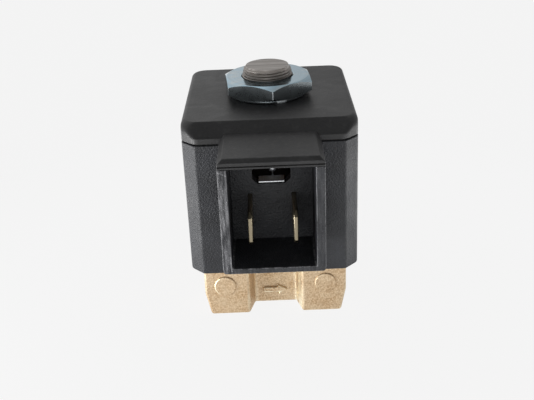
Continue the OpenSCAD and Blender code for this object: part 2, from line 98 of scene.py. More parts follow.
def prism(name, outline, axis, low, high):
    # a flat outline swept straight along an axis
    bm = bmesh.new()
    ends = [[bm.verts.new(spot(axis, a, b, end)) for a, b in outline] for end in (low, high)]
    for end in ends:
        bm.faces.new(end)
    bridge(bm, *ends)
    return solidObject(name, bm)


def loft(name, levels):
    # outlines with as many points each, stacked at their heights
    bm = bmesh.new()
    rings = []
    for height, outline in levels:
        rings.append([bm.verts.new(spot("z", x, y, height)) for x, y in outline])
    for low, high in zip(rings, rings[1:]):
        bridge(bm, low, high)
    for end in (rings[0], rings[-1]):
        bm.faces.new(end)
    bmesh.ops.remove_doubles(bm, verts=bm.verts, dist=edgeSettings["loftMerge"] * mm)
    obj = solidObject(name, bm)
    obj.data.attributes.new("wear", "FLOAT", "CORNER")
    return obj


def lathe(name, profile, axis="z", centre=(0, 0), steps=96):
    # a (radius, height) profile turned round an axis, from pole to pole
    bm = bmesh.new()
    rings = []
    for radius, height in profile:
        angles = [fullTurn * k / steps for k in range(steps if radius else 1)]
        rim = roundPoints(angles, radius, centre)
        rings.append([bm.verts.new(spot(axis, x, y, height)) for x, y in rim])
    for low, high in zip(rings, rings[1:]):
        bridge(bm, low, high)
    return solidObject(name, bm)


def drum(name, radius, low, high, axis="z", centre=(0, 0), steps=96):
    return lathe(name, [(0, low), (radius, low), (radius, high), (0, high)], axis, centre, steps)


def settle(obj):
    # turns what the modifiers make into the object's own mesh
    graph = bpy.context.evaluated_depsgraph_get()
    mesh = bpy.data.meshes.new_from_object(
        obj.evaluated_get(graph), preserve_all_data_layers=True, depsgraph=graph
    )
    obj.modifiers.clear()
    rough = obj.data
    obj.data = mesh
    bpy.data.meshes.remove(rough)
    mesh.name = obj.name
    return obj


def combine(obj, tool, operation):
    change = obj.modifiers.new("combine", "BOOLEAN")
    change.operation = operation
    change.solver = "EXACT"
    change.object = tool
    settle(obj)
    bpy.data.objects.remove(tool)


def cut(obj, tool):
    combine(obj, tool, "DIFFERENCE")


def join(obj, tool):
    combine(obj, tool, "UNION")


@contextmanager
def editing(obj):
    bm = bmesh.new()
    bm.from_mesh(obj.data)
    yield bm
    bm.to_mesh(obj.data)
    bm.free()


def markWear(mesh, scuffOf):
    # bevel faces carry wear, strongest along each edge's middle; scuffOf may change it by place, on some
    # pieces to paint highlights
    wear = mesh.attributes.new("wear", "FLOAT", "CORNER")
    plain = [polygon for polygon in mesh.polygons if polygon.material_index == 0]
    bordering = {vertex for polygon in plain for vertex in polygon.vertices}
    for polygon in mesh.polygons:
        rounded = polygon.material_index == 1
        polygon.material_index = 0
        scuff = scuffOf(polygon.center / mm) if scuffOf else None
        for loop in polygon.loop_indices:
            if scuff is not None:
                wear.data[loop].value = scuff
            elif rounded:
                onBorder = mesh.loops[loop].vertex_index in bordering
                wear.data[loop].value = edgeSettings["borderWear"] if onBorder else 1


def roundEdges(obj, radiusOf, segments=3, scuffOf=None):
    # rounds each sharp edge by the radius that radiusOf gives for its middle and direction
    flat = math.radians(edgeSettings["flatBelow"])
    sharp = math.radians(edgeSettings["sharpAbove"])
    with editing(obj) as bm:
        bmesh.ops.remove_doubles(bm, verts=bm.verts, dist=edgeSettings["merge"] * mm)
        bmesh.ops.dissolve_limit(bm, angle_limit=flat, verts=bm.verts, edges=bm.edges)
        weight = bm.edges.layers.float.new("bevel_weight_edge")
        radii = {}
        for edge in bm.edges:
            if len(edge.link_faces) == 2 and edge.calc_face_angle() > sharp:
                a, b = (vert.co / mm for vert in edge.verts)
                radii[edge] = radiusOf((a + b) / 2, (b - a).normalized())
        widest = max(radii.values())
        for edge, radius in radii.items():
            edge[weight] = radius / widest
    for _ in range(2):
        obj.data.materials.append(None)
    bevel = obj.modifiers.new("edges", "BEVEL")
    bevel.limit_method = "WEIGHT"
    bevel.width = widest * mm
    bevel.segments = segments
    bevel.use_clamp_overlap = False
    bevel.material = 1
    settle(obj)
    markWear(obj.data, scuffOf)


def splitAt(obj, place, normal):
    # new edges where a plane crosses the mesh
    with editing(obj) as bm:
        whole = bm.verts[:] + bm.edges[:] + bm.faces[:]
        bmesh.ops.bisect_plane(bm, geom=whole, plane_co=Vector(place) * mm, plane_no=normal)


def smoothFaces(obj, angle=35):
    obj.data.shade_smooth()
    obj.data.set_sharp_from_angle(angle=math.radians(angle))
    normals = obj.modifiers.new("normals", "WEIGHTED_NORMAL")
    normals.keep_sharp = True
    settle(obj)


def dress(obj, finish, slot, *replaced):
    obj.data.materials.clear()
    obj.data.materials.append(finishes[finish])
    if replaced:
        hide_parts(*replaced)
    print("piece made:", obj.name, len(obj.data.polygons), "faces")


def keep(obj, body, finish, slot, *replaced):
    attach(obj, body)
    dress(obj, finish, slot, *replaced)


def rectangle(x0, x1, y0, y1):
    return [(x0, y0), (x1, y0), (x1, y1), (x0, y1)]


def mirrored(half):
    # half of an outline, followed by its mirror image
    return half + [(-a, b) for a, b in reversed(half)]


def roundPoints(angles, radius, centre=(0, 0)):
    return [(centre[0] + radius * math.cos(a), centre[1] + radius * math.sin(a)) for a in angles]


def quarterTurn(steps):
    return [math.pi / 2 * k / steps for k in range(steps + 1)]


def near(a, b, slack=0.05):
    return abs(a - b) < slack


def runsAlong(direction, axis):
    return abs(getattr(direction, axis)) > 0.9


# Node helpers

def feed(tree, socket, value):
    if isinstance(value, bpy.types.NodeSocket):
        tree.links.new(value, socket)
    else:
        socket.default_value = value


def put(tree, kind, sockets=None, **settings):
    node = tree.nodes.new(kind)
    for name, value in settings.items():
        setattr(node, name, value)
    for key, value in (sockets or {}).items():
        feed(tree, node.inputs[key], value)
    return node


def sums(tree, operation, *values, clamp=False):
    node = put(tree, "ShaderNodeMath", dict(enumerate(values)), operation=operation, use_clamp=clamp)
    return node.outputs[0]


def times(tree, first, second):
    return sums(tree, "MULTIPLY", first, second)


def mixColour(tree, factor, first, second):
    return put(tree, "ShaderNodeMix", {0: factor, 6: first, 7: second}, data_type="RGBA").outputs[2]


def spread(tree, value, low, high, toLow=0.0, toHigh=1.0):
    node = put(tree, "ShaderNodeMapRange", {0: value, 1: low, 2: high, 3: toLow, 4: toHigh})
    return node.outputs[0]


def mixValue(tree, factor, first, second):
    return put(tree, "ShaderNodeMix", {0: factor, 2: first, 3: second}).outputs[0]


def newGroup(name, inputs, outputs):
    group = bpy.data.node_groups.new(name, "ShaderNodeTree")
    for label, value in inputs.items():
        socket = group.interface.new_socket(label, in_out="INPUT", socket_type="NodeSocketFloat")
        socket.default_value = value
    for label in outputs:
        group.interface.new_socket(label, in_out="OUTPUT", socket_type="NodeSocketFloat")
    return group, group.nodes.new("NodeGroupInput").outputs, group.nodes.new("NodeGroupOutput").inputs


def placeOf(tree):
    return put(tree, "ShaderNodeTexCoord").outputs["Object"]


def alongAxis(tree, axis):
    return put(tree, "ShaderNodeSeparateXYZ", {0: placeOf(tree)}).outputs[axis.upper()]


def distanceFrom(tree, axis):
    # how far a point lies from an axis
    flat = {"x": (0, 1, 1), "y": (1, 0, 1), "z": (1, 1, 0)}[axis]
    flattened = put(tree, "ShaderNodeVectorMath", {0: placeOf(tree), 1: flat}, operation="MULTIPLY")
    length = put(tree, "ShaderNodeVectorMath", {0: flattened.outputs[0]}, operation="LENGTH")
    return length.outputs["Value"]


def facingUp(tree, low, high):
    normal = put(tree, "ShaderNodeNewGeometry").outputs["Normal"]
    facing = put(tree, "ShaderNodeSeparateXYZ", {0: normal}).outputs["Z"]
    return spread(tree, facing, low, high)


def noise(tree, place, scale, detail, **more):
    sockets = {"Vector": place, "Scale": scale, "Detail": detail, **more}
    return put(tree, "ShaderNodeTexNoise", sockets).outputs["Fac"]


def cells(tree, place, scale):
    return put(tree, "ShaderNodeTexVoronoi", {"Vector": place, "Scale": scale}).outputs["Distance"]


def useGroup(tree, group, **values):
    node = put(tree, "ShaderNodeGroup", node_tree=group)
    for label, value in values.items():
        feed(tree, node.inputs[label], value)
    return node.outputs


# Camera, at the photograph's viewing angle

cameraSettings = {
    "eye": (0.06, -156.22, 92.85),
    "pitch": 25.11,
    "yaw": -0.42,
    "roll": -2.40,
    "focalPixels": 832.42,
    "imageWidth": 534,
    "sensor": 36,
    "clipStart": 10,
}


def placeCamera(s):
    pitch, yaw, roll = (math.radians(s[name]) for name in ("pitch", "yaw", "roll"))
    forward = Vector((
        math.sin(yaw) * math.cos(pitch), math.cos(yaw) * math.cos(pitch), -math.sin(pitch)
    ))
    right = Vector((math.cos(yaw), -math.sin(yaw), 0))
    up = right.cross(forward)
    rolledRight = right * math.cos(roll) + up * math.sin(roll)
    rolledUp = up * math.cos(roll) - right * math.sin(roll)
    data = bpy.data.cameras.new("photoCamera")
    data.sensor_fit = "HORIZONTAL"
    data.sensor_width = s["sensor"]
    data.lens = s["focalPixels"] * s["sensor"] / s["imageWidth"]
    data.clip_start = s["clipStart"] * mm
    camera = bpy.data.objects.new("photoCamera", data)
    scene.collection.objects.link(camera)
    turned = Matrix((rolledRight, rolledUp, -forward)).transposed().to_4x4()
    camera.matrix_world = Matrix.Translation(Vector(s["eye"]) * mm) @ turned
    scene.camera = camera


placeCamera(cameraSettings)
print("camera placed")


# Floor, world and lamps

stageSettings = {
    "pale": (0.972, 0.972, 0.972, 1),
    "bounce": (0.78, 0.78, 0.78, 1),
    "shadowShare": 0.10,
    "shadowReach": (55, 100),
    "glow": 1.0,
    "farGlow": 0.926,
    "floorHalf": 3000,
    "worldFill": 0.42,
    "fillShade": 0.25,
    "skyLeft": 0.96,
    "skyRight": 0.55,
    "skyTurns": (-0.12, 0.12),
    "frontShade": 0.94,
    "shadeFrom": (-0.05, -0.40),
    "shadeAbove": (0.10, 0.35),
    "lamps": {  # panels on the floor at both sides, a low strip at the front left and two softboxes in front
        "leftPanel": {"at": (-105, -15, 1), "size": (120, 190), "power": 0.11, "aim": (-105, -15, 100)},
        "rightPanel": {"at": (105, -30, 1), "size": (120, 190), "power": 0.14, "aim": (105, -30, 100)},
        "leftStrip": {"at": (-105, -55, 5), "size": (60, 9), "power": 0.10, "aim": (5, -10, 5)},
        "frontFill": {"at": (-60, -600, 60), "size": (400, 90), "power": 0.45, "aim": (0, -4, 20)},
        "frontHigh": {"at": (60, -500, 300), "size": (200, 200), "power": 0.12, "aim": (0, -4, 20)},
    },
}


def raysOf(tree):
    # 1 for rays from the camera, and 1 for those from a mirror or glass
    path = put(tree, "ShaderNodeLightPath").outputs
    reflected = sums(tree, "MAXIMUM", path["Is Glossy Ray"], path["Is Transmission Ray"])
    return path["Is Camera Ray"], reflected


def makeFloor(s):
    # glows evenly for the camera and mirrors, with a share of real shade near the object
    paint = bpy.data.materials.new("paleFloor")
    paint.use_nodes = True
    paint.cycles.emission_sampling = "NONE"
    tree = paint.node_tree
    tree.nodes.clear()
    shaded = put(tree, "ShaderNodeBsdfDiffuse", {"Color": s["bounce"]}).outputs[0]
    away = distanceFrom(tree, "z")
    fade = [reach * mm for reach in s["shadowReach"]]
    strength = spread(tree, away, *fade, s["glow"], s["farGlow"])
    share = spread(tree, away, *fade, s["shadowShare"], 0)
    glow = put(tree, "ShaderNodeEmission", {"Color": s["pale"], "Strength": strength}).outputs[0]
    seen = put(tree, "ShaderNodeMixShader", {0: share, 1: glow, 2: shaded}).outputs[0]
    looking = sums(tree, "MAXIMUM", *raysOf(tree))
    surface = put(tree, "ShaderNodeMixShader", {0: looking, 1: shaded, 2: seen}).outputs[0]
    put(tree, "ShaderNodeOutputMaterial", {"Surface": surface})
    half = s["floorHalf"]
    bm = bmesh.new()
    corners = rectangle(-half, half, -half, half)
    bm.faces.new([bm.verts.new(spot("z", x, y, 0)) for x, y in corners])
    floor = meshObject("paleFloor", bm)
    floor.data.materials.append(paint)


def makeSky(s):
    # mirrors see a room that is darker on the right and above the front
    world = bpy.data.worlds.new("paleRoom")
    world.use_nodes = True
    world.cycles.sampling_method = "NONE"
    scene.world = world
    tree = world.node_tree
    tree.nodes.clear()
    direct, reflected = raysOf(tree)
    towards = put(tree, "ShaderNodeTexCoord").outputs["Generated"]
    aside = put(tree, "ShaderNodeSeparateXYZ", {0: towards}).outputs
    front = spread(tree, aside["Y"], *s["shadeFrom"])
    above = spread(tree, aside["Z"], *s["shadeAbove"])
    shade = times(tree, times(tree, front, above), s["frontShade"])
    lit = sums(tree, "SUBTRACT", 1, shade)
    sides = spread(tree, aside["X"], *s["skyTurns"], s["skyLeft"], s["skyRight"])
    filled = sums(tree, "SUBTRACT", 1, times(tree, shade, s["fillShade"]))
    plain = mixValue(tree, direct, times(tree, filled, s["worldFill"]), s["farGlow"])
    strength = mixValue(tree, reflected, plain, times(tree, lit, sides))
    sky = put(tree, "ShaderNodeBackground", {"Color": s["pale"], "Strength": strength})
    put(tree, "ShaderNodeOutputWorld", {"Surface": sky.outputs[0]})


def hangLamps(lamps):
    for name, lamp in lamps.items():
        data = bpy.data.lights.new(name, "AREA")
        data.shape = "RECTANGLE"
        data.size, data.size_y = (side * mm for side in lamp["size"])
        data.energy = lamp["power"]
        holder = bpy.data.objects.new(name, data)
        scene.collection.objects.link(holder)
        holder.location = Vector(lamp["at"]) * mm
        aim = Vector(lamp["aim"]) * mm - holder.location
        holder.rotation_euler = aim.to_track_quat("-Z", "Y").to_euler()
        holder.visible_camera = False


makeFloor(stageSettings)
makeSky(stageSettings)
hangLamps(stageSettings["lamps"])
print("stage lit")


# Shared surface effects

grainSettings = {"grain": 1900, "ripple": 160, "detail": 3, "pits": 0.6, "fine": 0.5, "tone": (0.45, 1.05)}


def makeMouldGrain(s):
    # spark-eroded mould texture: fine pits on a slow ripple
    scales = {"Grain": s["grain"], "Ripple": s["ripple"]}
    group, given, result = newGroup("mouldGrain", scales, ["Height", "Tone"])
    place = placeOf(group)
    fine = noise(group, place, given["Grain"], s["detail"])
    pits = cells(group, place, given["Grain"])
    ripple = noise(group, place, given["Ripple"], s["detail"])
    tone = sums(group, "MULTIPLY_ADD", fine, s["fine"], ripple)
    feed(group, result["Height"], sums(group, "MULTIPLY_ADD", pits, s["pits"], fine))
    feed(group, result["Tone"], spread(group, tone, *s["tone"]))
    return group


wearSettings = {"amount": 0.5, "breakup": 700, "draw": 0.4, "detail": 4, "patches": (0.38, 0.66)}


def makeEdgeWear(s):
    # broken-up rubbing along rounded edges, together with the painted highlights that some pieces mark in
    # the same attribute
    scales = {"Amount": s["amount"], "Breakup": s["breakup"], "Draw": s["draw"]}
    group, given, result = newGroup("edgeWear", scales, ["Mask"])
    edge = put(group, "ShaderNodeAttribute", attribute_name="wear").outputs["Fac"]
    stretch = put(group, "ShaderNodeCombineXYZ", {0: 1, 1: 1, 2: given["Draw"]}).outputs[0]
    drawn = put(group, "ShaderNodeVectorMath", {0: placeOf(group), 1: stretch}, operation="MULTIPLY")
    patches = noise(group, drawn.outputs[0], given["Breakup"], s["detail"])
    worn = times(group, edge, spread(group, patches, *s["patches"]))
    feed(group, result["Mask"], sums(group, "MULTIPLY", worn, given["Amount"], clamp=True))
    return group


sandSettings = {
    "grain": 2400, "patch": 320, "detail": 4, "pits": -0.7, "tone": (0.3, 0.7), "speck": (0.35, 0.65),
}


def makeSandSkin(s):
    # sand-blasted skin of a forging: rounded grains and slow patches
    scales = {"Grain": s["grain"], "Patch": s["patch"]}
    group, given, result = newGroup("sandSkin", scales, ["Height", "Tone", "Speck"])
    place = placeOf(group)
    grains = cells(group, place, given["Grain"])
    fine = noise(group, place, given["Grain"], s["detail"])
    patch = noise(group, place, given["Patch"], s["detail"])
    feed(group, result["Height"], sums(group, "MULTIPLY_ADD", grains, s["pits"], fine))
    feed(group, result["Tone"], spread(group, patch, *s["tone"]))
    feed(group, result["Speck"], spread(group, fine, *s["speck"]))
    return group


markSettings = {"density": 9000, "detail": 3, "tone": (0.3, 0.7)}


def makeToolMarks(s):
    # lines that a tool leaves at equal distances from where it runs
    scales = {"Distance": 0, "Density": s["density"]}
    group, given, result = newGroup("toolMarks", scales, ["Height", "Tone"])
    along = times(group, given["Distance"], given["Density"])
    lines = put(
        group, "ShaderNodeTexNoise", {"W": along, "Scale": 1, "Detail": s["detail"]}, noise_dimensions="1D"
    ).outputs["Fac"]
    feed(group, result["Height"], lines)
    feed(group, result["Tone"], spread(group, lines, *s["tone"]))
    return group


handlingSettings = {
    "smear": 130, "smearDetail": 5, "swirl": 1.2, "smeared": (0.42, 0.68),
    "dust": 900, "dustDetail": 6, "dusty": (0.55, 0.75), "settles": (0.3, 1),
}


def makeHandling(s):
    # faint smears from handling, and dust where the surface faces up
    scales = {"Smear": s["smear"], "Dust": s["dust"]}
    group, given, result = newGroup("handling", scales, ["Smear", "Dust"])
    place = placeOf(group)
    smear = noise(group, place, given["Smear"], s["smearDetail"], Distortion=s["swirl"])
    dust = noise(group, place, given["Dust"], s["dustDetail"])
    settled = times(group, facingUp(group, *s["settles"]), spread(group, dust, *s["dusty"]))
    feed(group, result["Smear"], spread(group, smear, *s["smeared"]))
    feed(group, result["Dust"], settled)
    return group


mouldGrain = makeMouldGrain(grainSettings)
edgeWear = makeEdgeWear(wearSettings)
sandSkin = makeSandSkin(sandSettings)
toolMarks = makeToolMarks(markSettings)
handling = makeHandling(handlingSettings)
print("surface effects built")


# Materials

def newMaterial(name, **constants):
    material = bpy.data.materials.new(name)
    material.use_nodes = True
    tree = material.node_tree
    tree.nodes.clear()
    shader = put(tree, "ShaderNodeBsdfPrincipled")
    for socket, value in constants.items():
        shader.inputs[socket].default_value = value
    out = put(tree, "ShaderNodeOutputMaterial")
    tree.links.new(shader.outputs[0], out.inputs["Surface"])
    return material, tree, shader.inputs


def coat(tree, inputs, colour, rough, height, s):
    # gives the shader what changes over the surface
    relief = {"Strength": s["bump"], "Distance": s["depth"] * mm, "Height": height}
    bump = put(tree, "ShaderNodeBump", relief).outputs[0]
    for socket, value in (("Base Color", colour), ("Roughness", rough), ("Normal", bump)):
        tree.links.new(value, inputs[socket])


def smearedRough(tree, touch, s):
    clean, smeared = s["rough"]
    return spread(tree, touch["Smear"], 0, 1, clean, smeared)


plasticShared = {"dust": 0.06, "dustColour": (0.35, 0.34, 0.33, 1), "wornRough": -0.08}
plasticSettings = {
    "caseBlack": {
        "dark": (0.006, 0.0066, 0.0085, 1), "light": (0.029, 0.031, 0.037, 1), "worn": (0.42, 0.42, 0.44, 1),
        "rough": (0.56, 0.46), "grain": 3200, "bump": 1.0, "depth": 0.10, "wear": 0.5, "breakup": 2000,
        "draw": 0.14,
    },
    "capBlack": {
        "dark": (0.0095, 0.0095, 0.010, 1), "light": (0.021, 0.021, 0.022, 1),
        "worn": (0.12, 0.12, 0.125, 1), "rough": (0.51, 0.45), "grain": 2600, "bump": 0.5, "depth": 0.05,
        "wear": 0.30, "breakup": 700, "draw": 0.4,
    },
}


def makePlastic(name, s):
    material, tree, inputs = newMaterial(name)
    grain = useGroup(tree, mouldGrain, Grain=s["grain"])
    wear = useGroup(tree, edgeWear, Amount=s["wear"], Breakup=s["breakup"], Draw=s["draw"])["Mask"]
    touch = useGroup(tree, handling)
    base = mixColour(tree, grain["Tone"], s["dark"], s["light"])
    base = mixColour(tree, times(tree, touch["Dust"], s["dust"]), base, s["dustColour"])
    base = mixColour(tree, wear, base, s["worn"])
    rough = sums(tree, "MULTIPLY_ADD", wear, s["wornRough"], smearedRough(tree, touch, s))
    coat(tree, inputs, base, rough, grain["Height"], s)
    return material


forgingSettings = {
    "deep": (0.45, 0.30, 0.165, 1), "bright": (0.69, 0.52, 0.335, 1), "pale": (0.76, 0.64, 0.47, 1),
    "worn": (0.95, 0.86, 0.65, 1), "metallic": 0.9, "paleShare": 0.45, "rough": (0.66, 0.5),
    "wornRough": -0.12, "grain": 2900, "bump": 0.55, "depth": 0.10, "wear": 0.5, "breakup": 500,
}


def makeForgedBrass(s):
    material, tree, inputs = newMaterial("forgedBrass", Metallic=s["metallic"])
    skin = useGroup(tree, sandSkin, Grain=s["grain"])
    wear = useGroup(tree, edgeWear, Amount=s["wear"], Breakup=s["breakup"])["Mask"]
    base = mixColour(tree, skin["Speck"], s["deep"], s["bright"])
    base = mixColour(tree, times(tree, skin["Tone"], s["paleShare"]), base, s["pale"])
    # the wear mask also carries painted highlights on the recess walls, pad rims and arrow edges
    base = mixColour(tree, wear, base, s["worn"])
    rough = spread(tree, skin["Speck"], 0, 1, *s["rough"])
    rough = sums(tree, "MULTIPLY_ADD", wear, s["wornRough"], rough)
    coat(tree, inputs, base, rough, skin["Height"], s)
    return material


metalShared = {"axis": "z", "around": False, "smear": 260, "wear": 0.4, "depth": 0.03}
metalSettings = {
    "turnedBrass": {
        "dark": (0.60, 0.42, 0.17, 1), "light": (0.80, 0.60, 0.28, 1), "rough": (0.22, 0.38),
        "around": True, "density": 9000, "bump": 0.18,
    },
    "stainless": {
        "dark": (0.50, 0.50, 0.51, 1), "light": (0.64, 0.64, 0.65, 1), "rough": (0.22, 0.36),
        "density": 12000, "bump": 0.12,
    },
    "plungerSteel": {
        "dark": (0.40, 0.40, 0.41, 1), "light": (0.56, 0.56, 0.57, 1), "rough": (0.28, 0.42),
        "density": 9000, "bump": 0.2,
    },
    "yokeSteel": {
        "dark": (0.34, 0.35, 0.37, 1), "light": (0.50, 0.51, 0.53, 1), "rough": (0.34, 0.5),
        "axis": "y", "density": 6000, "bump": 0.15,
    },
    "springSteel": {
        "dark": (0.36, 0.37, 0.39, 1), "light": (0.58, 0.59, 0.61, 1), "rough": (0.24, 0.4),
        "density": 14000, "bump": 0.1,
    },
    "terminalBrass": {
        "dark": (0.26, 0.217, 0.146, 1), "light": (0.40, 0.35, 0.25, 1), "rough": (0.28, 0.44),
        "axis": "y", "density": 8000, "bump": 0.14,
    },
    "clipTin": {
        "dark": (0.62, 0.64, 0.66, 1), "light": (0.80, 0.82, 0.84, 1), "rough": (0.24, 0.36),
        "axis": "x", "density": 9000, "bump": 0.12, "topRough": 0.4, "topFrom": (0.8, 0.95),
    },
    "threadSteel": {
        "dark": (0.19, 0.174, 0.16, 1), "light": (0.42, 0.385, 0.36, 1), "rough": (0.46, 0.62),
        "density": 5000, "bump": 0.1,
    },
    "studSteel": {  # bare brownish steel, faced across the end with straight cutter lines
        "dark": (0.13, 0.116, 0.106, 1), "light": (0.48, 0.45, 0.425, 1), "rough": (0.42, 0.58),
        "axis": "y", "density": 1500, "bump": 0.2, "smear": 420, "smearShine": 0.35,
    },
    "shadingCopper": {
        "dark": (0.50, 0.22, 0.11, 1), "light": (0.72, 0.36, 0.20, 1), "rough": (0.24, 0.4),
        "around": True, "density": 12000, "bump": 0.12,
    },
}


def makeMetal(name, s):
    # a worked metal with the lines its tool left, round an axis or along it
    material, tree, inputs = newMaterial(name, Metallic=1)
    measure = distanceFrom if s["around"] else alongAxis
    marks = useGroup(tree, toolMarks, Distance=measure(tree, s["axis"]), Density=s["density"])
    touch = useGroup(tree, handling, Smear=s["smear"])
    wear = useGroup(tree, edgeWear, Amount=s["wear"])["Mask"]
    base = mixColour(tree, marks["Tone"], s["dark"], s["light"])
    if "smearShine" in s:
        base = mixColour(tree, times(tree, touch["Smear"], s["smearShine"]), base, s["light"])
    base = mixColour(tree, wear, base, s["light"])
    rough = smearedRough(tree, touch, s)
    if "topRough" in s:
        dull = times(tree, facingUp(tree, *s["topFrom"]), s["topRough"])
        rough = sums(tree, "ADD", rough, dull)
    coat(tree, inputs, base, rough, marks["Height"], s)
    return material


zincSettings = {
    "blue": (0.335, 0.455, 0.53, 1), "straw": (0.46, 0.50, 0.505, 1), "worn": (0.80, 0.85, 0.88, 1),
    "shadedFlankAndMarks": (0.15, 0.167, 0.175, 1), "rough": (0.14, 0.22), "flankRough": 0.12, "wornRough": 0.3,
    "patch": 420, "patchDetail": 3, "tint": (0.5, 0.8), "smear": 380, "wear": 0.8, "breakup": 400,
    "density": 1800, "markShare": 0.15, "topFrom": (0.1, 0.5), "bump": 0.1, "depth": 0.03,
}


def makeZinc(s):
    # bright zinc with a bluish passivation that drifts towards straw; faces that don't face up are rougher
    # and take a darker colour, painted shade
    material, tree, inputs = newMaterial("zincPlate", Metallic=1)
    drift = noise(tree, placeOf(tree), s["patch"], s["patchDetail"])
    touch = useGroup(tree, handling, Smear=s["smear"])
    wear = useGroup(tree, edgeWear, Amount=s["wear"], Breakup=s["breakup"])["Mask"]
    marks = useGroup(tree, toolMarks, Distance=distanceFrom(tree, "z"), Density=s["density"])
    upward = facingUp(tree, *s["topFrom"])
    base = mixColour(tree, spread(tree, drift, *s["tint"]), s["blue"], s["straw"])
    base = mixColour(tree, times(tree, marks["Tone"], s["markShare"]), base, s["shadedFlankAndMarks"])
    # painted shade: faces that don't face up take the dark flank colour
    base = mixColour(tree, upward, s["shadedFlankAndMarks"], base)
    # the wear mask also carries painted highlights on the nut's front corner and the washer's rim
    base = mixColour(tree, wear, base, s["worn"])
    dull = spread(tree, upward, 0, 1, s["flankRough"], 0)
    rough = sums(tree, "ADD", smearedRough(tree, touch, s), dull)
    rough = sums(tree, "MULTIPLY_ADD", wear, s["wornRough"], rough)
    coat(tree, inputs, base, rough, marks["Height"], s)
    return material


softShared = {"bump": 0.12, "depth": 0.03}
softSettings = {
    "bobbinNylon": {
        "dark": (0.55, 0.50, 0.40, 1), "light": (0.70, 0.65, 0.54, 1), "rough": (0.42, 0.56), "grain": 1500,
    },
    "rubber": {
        "dark": (0.016, 0.015, 0.014, 1), "light": (0.03, 0.028, 0.026, 1), "rough": (0.6, 0.8),
        "grain": 3000,
    },
    "tapeFilm": {
        "dark": (0.045, 0.040, 0.036, 1), "light": (0.085, 0.076, 0.068, 1), "rough": (0.14, 0.26),
        "grain": 700,
    },
    "enamelledCopper": {
        "dark": (0.30, 0.09, 0.03, 1), "light": (0.50, 0.19, 0.07, 1), "rough": (0.2, 0.34), "grain": 1200,
    },
}


def makeSoft(name, s):
    material, tree, inputs = newMaterial(name)
    grain = useGroup(tree, mouldGrain, Grain=s["grain"])
    base = mixColour(tree, grain["Tone"], s["dark"], s["light"])
    coat(tree, inputs, base, smearedRough(tree, useGroup(tree, handling), s), grain["Height"], s)
    return material


finishes = {name: makePlastic(name, {**plasticShared, **s}) for name, s in plasticSettings.items()}
finishes.update({name: makeMetal(name, {**metalShared, **s}) for name, s in metalSettings.items()})
finishes.update({name: makeSoft(name, {**softShared, **s}) for name, s in softSettings.items()})
finishes["forgedBrass"] = makeForgedBrass(forgingSettings)
finishes["zincPlate"] = makeZinc(zincSettings)
print("finishes mixed:", len(finishes))


# Moulded coil housing: case with connector shroud, and the cap that roofs it

housing = {
    "corner": 2.45,
    "backRound": 3,
    "arcSteps": 8,
    "sideCorner": 1.5,
    "frontCorner": 0.7,
    "leastCorner": 0.1,
    "wall": 2.3,
    "footRound": 0.35,
    "footSteps": 6,
    "seamRound": 0.1,
    "seamHeight": 0.25,
    "seamDepth": 0.5,
    "cavityFloor": 5.1,
    "bossRadius": 10.3,
    "bossDepth": 3.7,
    "tubeRadius": 5.6,
    "shroudWidth": 18.1,
    "shroudReach": 11.4,
    "shroudWall": 1.6,
    "shroudFloor": 1.05,
    "shroudLift": 6.3,
    "shroudRoot": 0.5,
    "shroudRound": 1.0,
    "rimRound": 0.22,
    "rimRows": 4,
    "rimSkin": 0.02,
    "rimDepth": 0.1,
    "socketRound": 0.4,
    "windowWidth": 7,
    "windowSill": 18.4,
    "windowChamfer": 1.05,
    "slotWidth": 0.84,
    "slotHeight": 6.34,
    "slotPitch": 8,
    "slotMiddle": 13.45,
    "leftScuff": 1.0,
    "chipScuff": 3.2,
    "scratchDrop": 0.75,
    "scratchWidth": 0.16,
    "scratchSlope": 0.45,
    "chipWidth": 0.3,
    "chipSpan": (0.6, 3.6),
    "rimScuff": 0.17,
}

caseLow, caseHigh = boxOf("coil_case")
capLow, capHigh = boxOf("top_cap")
halfWidth = caseHigh.x
backY = caseHigh.y
frontY = caseLow.y + housing["shroudReach"]
parting = caseHigh.z


def arcPoints(centre, radius, start, end):
    # a round corner between two directions in degrees, or the bare corner
    steps = housing["arcSteps"] if radius else 0
    angles = [math.radians(start + (end - start) * k / max(steps, 1)) for k in range(steps + 1)]
    return roundPoints(angles, radius, centre)


def housingPlan(inset, front, sideCorner=0, frontCorner=0):
    # front corners chamfered, back corners round; drawn in all round and further at the front
    x = halfWidth - inset
    y = backY - front
    root = math.sqrt(2)
    chamfer = halfWidth + backY - housing["corner"] - root * inset
    sideCentre = (x - sideCorner, x - sideCorner - chamfer + root * sideCorner)
    frontCentre = (chamfer - root * frontCorner - y + frontCorner, frontCorner - y)
    if sideCentre[1] < frontCentre[1]:  # no chamfer is left between the side and the front
        sideCentre = frontCentre = (x - sideCorner, frontCorner - y)
    backRound = housing["backRound"] - inset
    backCentre = (x - backRound, backY - inset - backRound)
    right = arcPoints(frontCentre, frontCorner, 270, 315)
    right += arcPoints(sideCentre, sideCorner, 315, 360)
    right += arcPoints(backCentre, backRound, 0, 90)
    return mirrored(right)


def makeShroud(s, half, low):
    inner = half - s["shroudWall"]
    floor = low + s["shroudFloor"]
    outline = mirrored([(-half, parting), (-half, low)]) + mirrored([(inner, parting), (inner, floor)])
    shroud = prism("shroud", outline, "y", caseLow.y, frontY + s["shroudRoot"])

    def radiusOf(middle, direction):
        if near(middle.y, caseLow.y):
            return s["rimRound"]
        if middle.y > frontY:
            return 0
        if near(middle.z, parting):
            return s["seamRound"]
        return s["shroudRound"] if near(middle.z, low) else s["socketRound"]

    def scuffOf(middle):
        return s["rimScuff"] if middle.y < caseLow.y + s["rimSkin"] else None

    roundEdges(shroud, radiusOf, s["rimRows"], scuffOf)
    scuffLeftRim(shroud, s, half, low)
    return shroud


